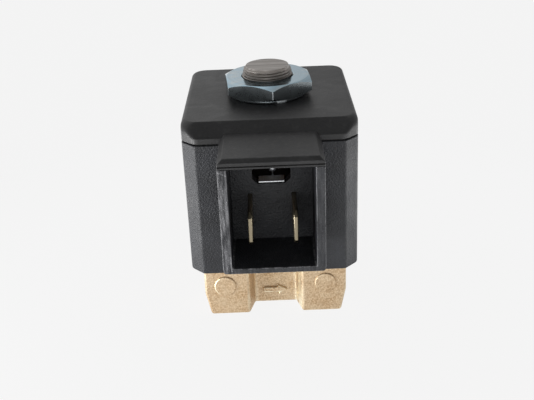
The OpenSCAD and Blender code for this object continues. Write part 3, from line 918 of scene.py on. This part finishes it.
def scuffLeftRim(shroud, s, half, low):
    # the rim is rubbed most on its left, with a scratch near the top and a chipped inner edge
    inner = half - s["shroudWall"]
    scratch = Vector((s["scratchSlope"], 0, 1)).normalized()
    scratchAt = Vector((-half + s["shroudWall"] / 2, 0, parting - s["scratchDrop"]))
    chipEdge = -inner - s["chipWidth"]
    chipLow, chipHigh = (low + height for height in s["chipSpan"])
    for x in (chipEdge, -inner):
        splitAt(shroud, (x, 0, 0), (1, 0, 0))
    for z in (chipLow, chipHigh):
        splitAt(shroud, (0, 0, z), (0, 0, 1))
    for side in (-1, 1):
        splitAt(shroud, scratchAt + scratch * side * s["scratchWidth"] / 2, scratch)
    wear = shroud.data.attributes["wear"]
    for polygon in shroud.data.polygons:
        centre = polygon.center / mm
        if centre.y < caseLow.y + s["rimDepth"] and centre.x < -inner:
            scratched = abs((centre - scratchAt).dot(scratch)) < s["scratchWidth"] / 2
            chipped = centre.x > chipEdge and chipLow < centre.z < chipHigh
            for loop in polygon.loop_indices:
                wear.data[loop].value = s["chipScuff"] if scratched or chipped else s["leftScuff"]


def makeCoilCase(s):
    base = caseLow.z
    foot = s["footRound"]
    bend = quarterTurn(s["footSteps"])
    rows = [(base + foot * (1 - math.cos(turn)), foot * (1 - math.sin(turn))) for turn in bend]
    rows += [(parting - s["seamRound"], 0), (parting, s["seamRound"])]
    levels = []
    for height, inset in rows:
        frontCorner = max(s["frontCorner"] - inset, s["leastCorner"])
        levels.append((height, housingPlan(inset, inset, s["sideCorner"] - inset, frontCorner)))
    case = loft("coilCase", levels)
    cavity = housingPlan(s["wall"], s["wall"])
    cut(case, prism("cavity", cavity, "z", base + s["cavityFloor"], parting + past))
    cut(case, drum("bossPocket", s["bossRadius"], base - past, base + s["bossDepth"]))
    cut(case, drum("tubeHole", s["tubeRadius"], base, parting))
    half = s["windowWidth"] / 2
    sill = base + s["windowSill"]
    slope = s["windowChamfer"]
    window = mirrored([(-half, parting + past), (-half, sill + slope), (-half + slope, sill)])
    cut(case, prism("window", window, "y", frontY - past, frontY + s["wall"] + past))
    z = base + s["slotMiddle"]
    halfWide = s["slotWidth"] / 2
    halfTall = s["slotHeight"] / 2
    for x in (-s["slotPitch"] / 2, s["slotPitch"] / 2):
        slot = rectangle(x - halfWide, x + halfWide, z - halfTall, z + halfTall)
        cut(case, prism("bladeSlot", slot, "y", frontY - past, frontY + s["wall"] + past))
    join(case, makeShroud(s, s["shroudWidth"] / 2, base + s["shroudLift"]))
    smoothFaces(case)
    keep(case, "coil", "caseBlack", "case_plastic", "coil_case")


capForm = {
    "lip": 1.3,
    "bevel": 2.45,
    "sideRound": 1,
    "roundSteps": 8,
    "bevelSoft": 0.14,
    "bevelRows": (-0.4, -0.16, -0.06, 0, 0.06, 0.16, 0.4, 0.9),
    "corner": 2.2,
    "pocket": 1.6,
    "roofRim": 1.1,
    "roofBevel": 0.7,
    "roofSide": 0.9,
    "roofRound": 0.14,
    "grooveLow": 0.38,
    "grooveHigh": 0.58,
    "grooveDepth": 0.3,
    "grooveRound": 0.05,
    "grooveSpan": 0.12,
    "wearFrom": 0.05,
}


def makeCapBlock(s, h):
    # upright lip, front bevel with softened edges, and rounded sides and back
    top = capHigh.z
    low = parting + s["lip"]
    foot = parting + h["seamHeight"]
    seam = h["seamRound"]
    soft = s["bevelSoft"]

    def drawnBack(height):
        rise = height - low
        return (rise + math.hypot(rise, soft)) / 2

    rows = [(foot, seam, seam), (foot + seam, 0, 0)]
    rows += [(low + rise, 0, drawnBack(low + rise)) for rise in s["bevelRows"]]
    for turn in quarterTurn(s["roundSteps"]):
        height = top - s["sideRound"] * (1 - math.sin(turn))
        rows.append((height, s["sideRound"] * (1 - math.cos(turn)), drawnBack(height)))
    height, inset, front = rows[-1]
    rows[-1] = (height, inset, front + soft)
    return loft("topCap", [
        (height, housingPlan(inset, front, s["corner"], s["corner"])) for height, inset, front in rows
    ])


def makeRoof(s, half, back):
    rim = parting + s["roofRim"]
    top = rim + s["roofBevel"]
    face = capLow.y
    sideView = [
        (face, parting), (face, rim), (face + s["roofBevel"], top), (back, top), (back, parting),
    ]
    roof = prism("roof", sideView, "x", -half, half)
    slope = s["roofSide"]
    frontView = mirrored([(-half, parting - past), (-half, top - slope), (-half + slope, top)])
    combine(roof, prism("roofSides", frontView, "y", face - past, back + past), "INTERSECT")
    low, high = parting + s["grooveLow"], parting + s["grooveHigh"]
    groove = rectangle(face - past, face + s["grooveDepth"], low, high)
    cut(roof, prism("roofGroove", groove, "x", -half - past, half + past))

    def radiusOf(middle, direction):
        if near(middle.y, back):
            return 0
        if near(middle.z, (low + high) / 2, s["grooveSpan"]):
            return s["grooveRound"] if near(middle.y, face) else 0
        return s["roofRound"]

    def scuffOf(middle):
        return 0 if middle.z < parting + s["wearFrom"] else None

    roundEdges(roof, radiusOf, scuffOf=scuffOf)
    return roof


def makeTopCap(s, h):
    cap = makeCapBlock(s, h)
    seam = housingPlan(h["seamDepth"], h["seamDepth"])
    pocket = housingPlan(h["wall"], h["wall"])
    join(cap, prism("seam", seam, "z", parting, parting + s["lip"] / 2))
    join(cap, makeRoof(s, h["shroudWidth"] / 2, frontY + s["bevel"]))
    cut(cap, prism("pocket", pocket, "z", parting - past, parting + s["pocket"]))
    cut(cap, drum("studHole", h["tubeRadius"], parting - past, capHigh.z + past))
    smoothFaces(cap)
    keep(cap, "coil", "capBlack", "cap_plastic", "top_cap")


makeCoilCase(housing)
makeTopCap(capForm, housing)


# Hexagon nut and the stud's thread

nutForm = {
    "acrossFlats": 16,
    "turn": 5.5,
    "cornerRound": 0.09,
    "cornerWear": 0.35,
    "frontGlint": 2.0,
    "cornerShare": 0.97,
    "frontShare": 0.9,
    "flatShare": 0.985,
    "chamferAngle": 30,
    "threadRadius": 4.96,
    "countersink": 0.15,
    "washerHole": 4.85,
    "washerRound": 0.16,
    "glintAngle": -70,
    "glintSpan": 9,
    "glintBrightening": 3,
    "steps": 144,
    "smooth": 20,
}


def makeCoilNut(s):
    low, high = boxOf("coil_nut")
    bottom, top = low.z, high.z
    cornerRadius = s["acrossFlats"] / math.sqrt(3)
    flatRadius = s["acrossFlats"] / 2 * s["flatShare"]
    drop = (cornerRadius - flatRadius) * math.tan(math.radians(s["chamferAngle"]))
    angles = [math.radians(s["turn"] - 90 + 60 * k) for k in range(6)]
    nut = prism("coilNut", roundPoints(angles, cornerRadius), "z", bottom, top)
    atCorner = s["cornerShare"] * cornerRadius

    def radiusOf(middle, direction):
        return s["cornerRound"] if runsAlong(direction, "z") else 0

    def scuffOf(middle):
        # the front corner is painted brightest through the wear mark, a painted highlight; the other corners
        # carry light wear
        if math.hypot(middle.x, middle.y) < atCorner:
            return None
        return s["frontGlint"] if middle.y < -s["frontShare"] * atCorner else s["cornerWear"]

    roundEdges(nut, radiusOf, scuffOf=scuffOf)
    combine(nut, lathe("cones", [
        (0, bottom), (flatRadius, bottom), (cornerRadius, bottom + drop),
        (cornerRadius, top - drop), (flatRadius, top), (0, top),
    ], steps=s["steps"]), "INTERSECT")
    thread = s["threadRadius"]
    cut(nut, lathe("threadHole", [
        (0, bottom - past), (thread, bottom - past), (thread, top - s["countersink"]),
        (thread + s["countersink"] + past, top + past), (0, top + past),
    ]))
    smoothFaces(nut, s["smooth"])
    keep(nut, "valve", "zincPlate", "zinc_plate", "coil_nut")


def makeNutWasher(s):
    low, high = boxOf("nut_washer")
    washer = drum("nutWasher", high.x, low.z, high.z, steps=s["steps"])
    rimRadius = high.x - s["washerRound"]

    def scuffOf(middle):
        # one stretch of the rim at the front is painted bright through the wear mark, a painted glint
        turn = math.degrees(math.atan2(middle.y, middle.x)) - s["glintAngle"]
        onRim = math.hypot(middle.x, middle.y) > rimRadius
        return s["glintBrightening"] * max(0, 1 - (turn / s["glintSpan"]) ** 2) if onRim else None

    roundEdges(washer, lambda middle, direction: s["washerRound"], scuffOf=scuffOf)
    cut(washer, drum("washerHole", s["washerHole"], low.z - past, high.z + past))
    smoothFaces(washer)
    keep(washer, "valve", "zincPlate", "zinc_plate", "nut_washer")


makeCoilNut(nutForm)
makeNutWasher(nutForm)


# Geometry node trees for threads and wire

def newShapeTree(name, inputs):
    tree = bpy.data.node_groups.new(name, "GeometryNodeTree")
    for label, kind in inputs.items():
        tree.interface.new_socket(label, in_out="INPUT", socket_type="NodeSocket" + kind)
    tree.interface.new_socket("Geometry", in_out="OUTPUT", socket_type="NodeSocketGeometry")
    return tree, tree.nodes.new("NodeGroupInput").outputs, tree.nodes.new("NodeGroupOutput").inputs


def finishTree(tree, given, result, path, section):
    # sweeps a section along a path and paints what comes of it
    sweep = {"Curve": path, "Profile Curve": section, "Fill Caps": True}
    swept = put(tree, "GeometryNodeCurveToMesh", sweep).outputs[0]
    real = put(tree, "GeometryNodeRealizeInstances", {0: swept}).outputs[0]
    painted = put(tree, "GeometryNodeSetMaterial", {"Geometry": real, "Material": given["Material"]})
    tree.links.new(painted.outputs[0], result[0])
    return tree


ridgeForm = {"foot": 0.46, "crest": 0.08, "sunk": -0.2}  # shares of the pitch, and of the depth


def makeThreadTree(s):
    # a thread's ridge wound on a root that may taper; a negative depth points inwards
    tree, given, result = newShapeTree("threadRidge", {
        "Start Radius": "Float", "End Radius": "Float", "Pitch": "Float", "Turns": "Float",
        "Depth": "Float", "Steps": "Int", "Material": "Material",
    })
    helix = put(tree, "GeometryNodeCurveSpiral", {
        "Resolution": given["Steps"], "Rotations": given["Turns"], "Start Radius": given["Start Radius"],
        "End Radius": given["End Radius"], "Height": times(tree, given["Pitch"], given["Turns"]),
        "Reverse": True,
    })
    upright = put(tree, "GeometryNodeSetCurveNormal", {"Curve": helix.outputs[0]}, mode="Z_UP")
    foot = times(tree, given["Pitch"], s["foot"])
    crest = times(tree, given["Pitch"], s["crest"])
    sunk = times(tree, given["Depth"], s["sunk"])
    corners = [(sunk, foot, -1), (given["Depth"], crest, -1), (given["Depth"], crest, 1), (sunk, foot, 1)]
    section = put(tree, "GeometryNodeCurvePrimitiveQuadrilateral", mode="POINTS")
    for number, (out, side, sign) in enumerate(corners, 1):
        point = put(tree, "ShaderNodeCombineXYZ", {0: out, 1: times(tree, side, sign)})
        tree.links.new(point.outputs[0], section.inputs["Point %d" % number])
    return finishTree(tree, given, result, upright.outputs[0], section.outputs[0])


endTurns = 2  # turns of a wire coil that lie close, one at each end


def makeWireTree():
    # wire wound in a coil whose first and last turns lie close
    tree, given, result = newShapeTree("wireCoil", {
        "Radius": "Float", "Wire": "Float", "Turns": "Float", "Pitch": "Float",
        "Steps": "Int", "Sides": "Int", "Material": "Material",
    })
    line = put(tree, "GeometryNodeCurvePrimitiveLine")
    count = sums(tree, "MULTIPLY_ADD", given["Turns"], given["Steps"], 1)
    points = put(tree, "GeometryNodeResampleCurve", {"Curve": line.outputs[0], "Count": count}).outputs[0]
    turn = times(tree, put(tree, "GeometryNodeSplineParameter").outputs["Factor"], given["Turns"])
    angle = times(tree, turn, fullTurn)
    openTurns = sums(tree, "SUBTRACT", given["Turns"], endTurns)
    begun = sums(tree, "MAXIMUM", sums(tree, "SUBTRACT", turn, endTurns / 2), 0)
    opened = sums(tree, "MINIMUM", begun, openTurns)
    extra = sums(tree, "SUBTRACT", given["Pitch"], given["Wire"])
    place = put(tree, "ShaderNodeCombineXYZ", {
        0: times(tree, given["Radius"], sums(tree, "COSINE", angle)),
        1: times(tree, given["Radius"], sums(tree, "SINE", angle)),
        2: sums(tree, "MULTIPLY_ADD", opened, extra, times(tree, turn, given["Wire"])),
    }).outputs[0]
    wound = put(tree, "GeometryNodeSetPosition", {"Geometry": points, "Position": place})
    section = put(tree, "GeometryNodeCurvePrimitiveCircle", {
        "Resolution": given["Sides"], "Radius": times(tree, given["Wire"], 0.5)
    })
    return finishTree(tree, given, result, wound.outputs[0], section.outputs[0])


def growMesh(name, tree, finish, values, places, smooth):
    # grows a shape from a tree and sets one at each place
    obj = meshObject(name, bmesh.new())
    modifier = obj.modifiers.new("grow", "NODES")
    modifier.node_group = tree
    values["Material"] = finishes[finish]
    for item in tree.interface.items_tree:
        if item.in_out == "INPUT":
            modifier[item.identifier] = values[item.name]
    settle(obj)
    bm = bmesh.new()
    for place in places:
        copy = obj.data.copy()
        copy.transform(place)
        bm.from_mesh(copy)
        bpy.data.meshes.remove(copy)
    bmesh.ops.recalc_face_normals(bm, faces=bm.faces)
    bm.to_mesh(obj.data)
    bm.free()
    obj.data.shade_smooth()
    obj.data.set_sharp_from_angle(angle=math.radians(smooth))
    return obj


def growThread(name, finish, s, roots, length, places):
    startRoot, endRoot = roots
    return growMesh(name, threadTree, finish, {
        "Start Radius": startRoot * mm,
        "End Radius": endRoot * mm,
        "Pitch": s["pitch"] * mm,
        "Turns": length / s["pitch"],
        "Depth": s["depth"] * mm,
        "Steps": s["steps"],
    }, places, s["smooth"])


def windWire(name, finish, s, box, turns, pitch):
    low, high = box
    wire = s["wire"]
    return growMesh(name, wireTree, finish, {
        "Radius": (high.x - wire / 2) * mm,
        "Wire": wire * mm,
        "Turns": turns,
        "Pitch": pitch * mm,
        "Steps": s["steps"],
        "Sides": s["sides"],
    }, [Matrix.Translation((0, 0, (low.z + wire / 2) * mm))], s["smooth"])


threadTree = makeThreadTree(ridgeForm)
wireTree = makeWireTree()
print("shape trees built")

studThreadForm = {
    "pitch": 0.5, "depth": 0.28, "startDrop": 0.3, "endDrop": 0.3, "rootAtNut": 4.58, "rootAtTip": 4.12,
    "steps": 72, "smooth": 25,
}


def makeStudThread(s):
    nutTop = boxOf("coil_nut")[1].z
    tip = boxOf("fixed_core")[1].z
    start = nutTop - s["startDrop"]
    end = tip - s["endDrop"]
    taper = (s["rootAtTip"] - s["rootAtNut"]) / (tip - nutTop)
    roots = [s["rootAtNut"] + taper * (height - nutTop) for height in (start, end)]
    places = [Matrix.Translation((0, 0, start * mm))]
    thread = growThread("studThread", "threadSteel", s, roots, end - start, places)
    keep(thread, "valve", "threadSteel", "core_steel")


makeStudThread(studThreadForm)


# Forged brass body with its ports

bodyForm = {
    "length": 28.4,
    "depth": 24,
    "shoulder": 12.6,
    "recessWidth": 10.6,
    "recessDepth": 4,
    "recessDraft": 1.1,
    "endTaper": 1,
    "taperHeight": 4.8,
    "baseRound": 0.3,
    "footRound": 0.5,
    "corner": 0.5,
    "mouthRound": 0.5,
    "rootRound": 0.6,
    "wallHighlight": 5,
    "topRound": 0.35,
    "waistRound": 1.6,
    "uprightRound": 0.2,
    "bossRound": 0.3,
    "bossRadius": 10,
    "bossDrop": 2.9,
    "padDiameter": 4.4,
    "padHeight": 0.3,
    "padX": 10.05,
    "padRound": 0.26,
    "padHighlight": (3.2, 1.1),
    "portRadius": 4.78,
    "portDepth": 7.8,
    "portHeight": 6.5,
    "portChamfer": 0.5,
    "passageRadius": 1.5,
    "feedHeight": 8.6,
    "feedEnd": -4.5,
    "drainHeight": 4,
    "margin": 0.1,
    "edgeRows": 4,
    "bossSteps": 72,
    "padSteps": 48,
    "passageSteps": 32,
}

chamberProfile = [  # orifice, nozzle, chamber, flange seat and ring nut seat
    (0, 4), (1.1, 4), (1.1, 9.4), (1.6, 9.4), (2.5, 8.2), (2.5, 7), (5.2, 7), (5.2, 11.7),
    (7, 11.7), (7, 14), (8.32, 14), (8.32, 17.6), (0, 17.6),
]


def makeValveBody(s):
    halfLength = s["length"] / 2
    halfDepth = s["depth"] / 2
    top = boxOf("valve_body")[1].z
    foot = halfLength - s["endTaper"]
    endView = mirrored([
        (-halfLength, s["shoulder"]), (-halfLength, s["taperHeight"]), (-foot, 0),
    ])
    body = prism("valveBody", endView, "y", -halfDepth, halfDepth)
    mouth = s["recessWidth"] / 2
    root = mouth - s["recessDraft"]
    webY = halfDepth - s["recessDepth"]
    outer = mouth + past * s["recessDraft"] / s["recessDepth"]
    for side in (-1, 1):
        outerY, rootY = side * (halfDepth + past), side * webY
        recess = [(-outer, outerY), (outer, outerY), (root, rootY), (-root, rootY)]
        cut(body, prism("recess", recess, "z", -past, s["shoulder"] + past))
    bossFoot = s["shoulder"] - s["bossDrop"]
    join(body, drum("boss", s["bossRadius"], bossFoot, top, steps=s["bossSteps"]))
    margin = s["margin"]

    def radiusOf(middle, direction):
        if near(middle.z, top):
            return s["bossRound"]
        onFront = near(abs(middle.y), halfDepth)
        onEnd = abs(middle.x) > foot - margin
        if runsAlong(direction, "z"):
            if onFront:
                return s["corner"] if onEnd else s["mouthRound"]
            return s["rootRound"] if near(abs(middle.y), webY) else s["uprightRound"]
        if onEnd and onFront:
            return s["corner"]
        if near(middle.z, 0):
            return s["baseRound"] if onFront else s["footRound"]
        if near(middle.z, s["taperHeight"]) and onEnd:
            return s["waistRound"]
        return s["topRound"]

    def scuffOf(middle):
        # the recess walls facing -x are painted bright through the wear mark, a painted highlight where
        # light from the left falls on them
        deep = webY + margin < abs(middle.y) < halfDepth - margin
        rubbed = deep and root - margin < middle.x < mouth
        return s["wallHighlight"] if rubbed and middle.z < s["shoulder"] else None

    roundEdges(body, radiusOf, s["edgeRows"], scuffOf)
    # each pad gets its own strength of painted highlight on its rim
    for x, wear in zip((-s["padX"], s["padX"]), s["padHighlight"]):
        join(body, makePad(s, x, wear, halfDepth + s["padHeight"]))
    for side in (-1, 1):
        face = side * halfLength
        inner = side * (halfLength - s["portDepth"])
        radius = s["portRadius"]
        cut(body, lathe("port", [
            (0, face + side * past), (radius + s["portChamfer"] + past, face + side * past),
            (radius, face - side * s["portChamfer"]), (radius, inner),
            (0, inner - side * s["passageRadius"]),
        ], "x", (0, s["portHeight"])))
    cut(body, lathe("chamber", chamberProfile))
    reach = halfLength - s["portDepth"] + past
    feedAt, drainAt = ((0, s[name]) for name in ("feedHeight", "drainHeight"))
    cut(body, drum("feed", s["passageRadius"], -reach, s["feedEnd"], "x", feedAt, s["passageSteps"]))
    cut(body, drum("drain", s["passageRadius"], 0, reach, "x", drainAt, s["passageSteps"]))
    smoothFaces(body)
    keep(body, "valve", "forgedBrass", "brass_forging", "valve_body")


def makePad(s, x, wear, reach):
    radius = s["padDiameter"] / 2
    pad = drum("pad", radius, -reach, reach, "y", (x, s["portHeight"]), s["padSteps"])
    rim = radius - s["padRound"]

    def scuffOf(middle):
        # the pad's rim is painted bright on its left side through the wear mark, a painted highlight where
        # light from the left falls on it
        side, height = x - middle.x, middle.z - s["portHeight"]
        return wear * max(0, side) / rim if math.hypot(side, height) > rim else None

    roundEdges(pad, lambda middle, direction: s["padRound"], scuffOf=scuffOf)
    return pad


portThreadForm = {
    "root": 4.82, "pitch": 0.907, "depth": -0.5, "length": 5.4, "inset": 0.7, "steps": 64, "smooth": 25,
}


def makePortThreads(s, body):
    start = body["length"] / 2 - s["inset"]
    places = []
    for side in (-1, 1):
        stand = Matrix.Rotation(-side * math.pi / 2, 4, "Y")
        places.append(Matrix.Translation(Vector((side * start, 0, body["portHeight"])) * mm) @ stand)
    roots = (s["root"], s["root"])
    threads = growThread("portThreads", "turnedBrass", s, roots, s["length"], places)
    keep(threads, "valve", "turnedBrass", "turned_brass")


arrowForm = {
    "tail": -2.6,
    "neck": 0.7,
    "barb": 0.15,
    "tip": 2.55,
    "middle": 3.1,
    "shaft": 1.2,
    "head": 2.6,
    "proud": 0.5,
    "edgeRound": 0.3,
    "lowHighlight": 3,
    "sunk": 0.1,
    "rootSkin": 0.05,
    "faceSkin": 0.01,
}


def makeFlowArrow(s, body):
    webY = -(body["depth"] / 2 - body["recessDepth"])
    z = s["middle"]
    shaft = s["shaft"] / 2
    head = s["head"] / 2
    outline = [
        (s["tail"], z - shaft), (s["neck"], z - shaft), (s["barb"], z - head), (s["tip"], z),
        (s["barb"], z + head), (s["neck"], z + shaft), (s["tail"], z + shaft),
    ]
    face = webY - s["proud"]
    arrow = prism("flowArrow", outline, "y", face, webY + s["sunk"])

    def radiusOf(middle, direction):
        return s["edgeRound"] if middle.y < webY - s["rootSkin"] else 0

    def scuffOf(middle):
        # the lower edges are painted lighter through the wear mark, a painted highlight where they catch the
        # light
        behindFace = middle.y > face + s["faceSkin"]
        return s["lowHighlight"] if behindFace and middle.z < z - shaft / 2 else None

    roundEdges(arrow, radiusOf, scuffOf=scuffOf)
    smoothFaces(arrow)
    keep(arrow, "valve", "forgedBrass", "brass_forging")


makeValveBody(bodyForm)
makePortThreads(portThreadForm, bodyForm)
makeFlowArrow(arrowForm, bodyForm)


# Terminal blades

bladeForm = {
    "width": 6.3, "tip": 0.9, "tailWidth": 2, "edgeRound": 0.24, "holeSetback": 4.2, "hole": 1.7,
    "holeSteps": 32,
}


def makeTerminal(name, node, s):
    low, high = boxOf(node)
    bladeTop = low.z + s["width"]
    tailFront = high.y - s["tailWidth"]
    shoulder = low.y + s["tip"]
    outline = [
        (low.y, low.z + s["tip"]), (shoulder, low.z), (high.y, low.z), (high.y, high.z),
        (tailFront, high.z), (tailFront, bladeTop), (shoulder, bladeTop), (low.y, bladeTop - s["tip"]),
    ]
    blade = prism(name, outline, "x", low.x, high.x)
    roundEdges(blade, lambda middle, direction: 0 if runsAlong(direction, "x") else s["edgeRound"])
    centre = (low.y + s["holeSetback"], low.z + s["width"] / 2)
    hole = drum("detentHole", s["hole"] / 2, low.x - past, high.x + past, "x", centre, s["holeSteps"])
    cut(blade, hole)
    smoothFaces(blade)
    keep(blade, "coil", "terminalBrass", "terminal_brass", node)


makeTerminal("terminalLeft", "terminal_left", bladeForm)
makeTerminal("terminalRight", "terminal_right", bladeForm)


# Earth clip: a lip on the window's sill, a leg behind the wall and a foot against the yoke

clipForm = {
    "thick": 0.4,
    "lip": 2.6,
    "edgeRound": 0.12,
    "fingerX": 0.25,
    "fingerWidth": 0.35,
    "fingerHeight": 1.1,
    "fingerLean": 1.3,
    "dimpleRadius": 0.75,
    "dimpleRise": 0.4,
    "dimpleRows": 6,
    "dimpleSteps": 32,
    "dimpleDrop": 0.1,
}


def makeEarthClip(s):
    low, high = boxOf("earth_clip")
    thick = s["thick"]
    legBack = low.y + s["lip"]
    legFront = legBack - thick
    outline = [
        (low.y, high.z - thick), (legFront, high.z - thick), (legFront, low.z), (high.y, low.z),
        (high.y, low.z + thick), (legBack, low.z + thick), (legBack, high.z), (low.y, high.z),
    ]
    clip = prism("earthClip", outline, "x", low.x, high.x)
    tip = high.z + s["fingerHeight"]
    tipFront = legFront + s["fingerLean"]
    sideView = [
        (legFront, high.z - thick), (legBack, high.z - thick), (tipFront + thick, tip), (tipFront, tip)
    ]
    left = s["fingerX"] - s["fingerWidth"] / 2
    join(clip, prism("clipFinger", sideView, "x", left, left + s["fingerWidth"]))
    roundEdges(clip, lambda middle, direction: 0 if near(middle.y, high.y) else s["edgeRound"])
    rise = s["dimpleRise"]
    bend = quarterTurn(s["dimpleRows"])
    dome = [(s["dimpleRadius"] * math.sin(turn), tipFront - rise * math.cos(turn)) for turn in bend]
    dimple = dome + [(s["dimpleRadius"], tipFront + thick), (0, tipFront + thick)]
    centre = (s["fingerX"], tip - s["dimpleDrop"])
    join(clip, lathe("clipDimple", dimple, "y", centre, s["dimpleSteps"]))
    smoothFaces(clip)
    keep(clip, "coil", "clipTin", "zinc_plate", "earth_clip")


makeEarthClip(clipForm)


# Wound pieces

springForm = {"wire": 0.5, "turns": 9, "steps": 40, "sides": 12, "smooth": 40}
windingForm = {"wire": 0.3, "steps": 48, "sides": 6, "smooth": 60}


def makeReturnSpring(s):
    low, high = boxOf("return_spring")
    wire = s["wire"]
    pitch = (high.z - low.z - (endTurns + 1) * wire) / (s["turns"] - endTurns)
    spring = windWire("returnSpring", "springSteel", s, (low, high), s["turns"], pitch)
    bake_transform(spring)
    dress(spring, "springSteel", "spring_steel", "return_spring")


def makeWinding(s):
    low, high = boxOf("winding")
    turns = int((high.z - low.z) / s["wire"]) - 1
    layer = windWire("copperWinding", "enamelledCopper", s, (low, high), turns, s["wire"])
    keep(layer, "coil", "enamelledCopper", "copper", "winding")


makeReturnSpring(springForm)
makeWinding(windingForm)


# Finishes for the pieces that keep their CAD shape

dressedNodes = {
    "guide_tube": "stainless",
    "ring_nut": "turnedBrass",
    "body_o_ring": "rubber",
    "fixed_core": "studSteel",
    "shading_ring": "shadingCopper",
    "plunger": "plungerSteel",
    "seat_seal": "rubber",
    "bobbin": "bobbinNylon",
    "winding_tape": "tapeFilm",
    "yoke_frame": "yokeSteel",
    "yoke_plate": "yokeSteel",
    "lead_left": "enamelledCopper",
    "lead_right": "enamelledCopper",
}
for name, finish in dressedNodes.items():
    for slot in cadNodes[name].material_slots:
        slot.material = finishes[finish]
print("CAD pieces dressed:", len(dressedNodes))
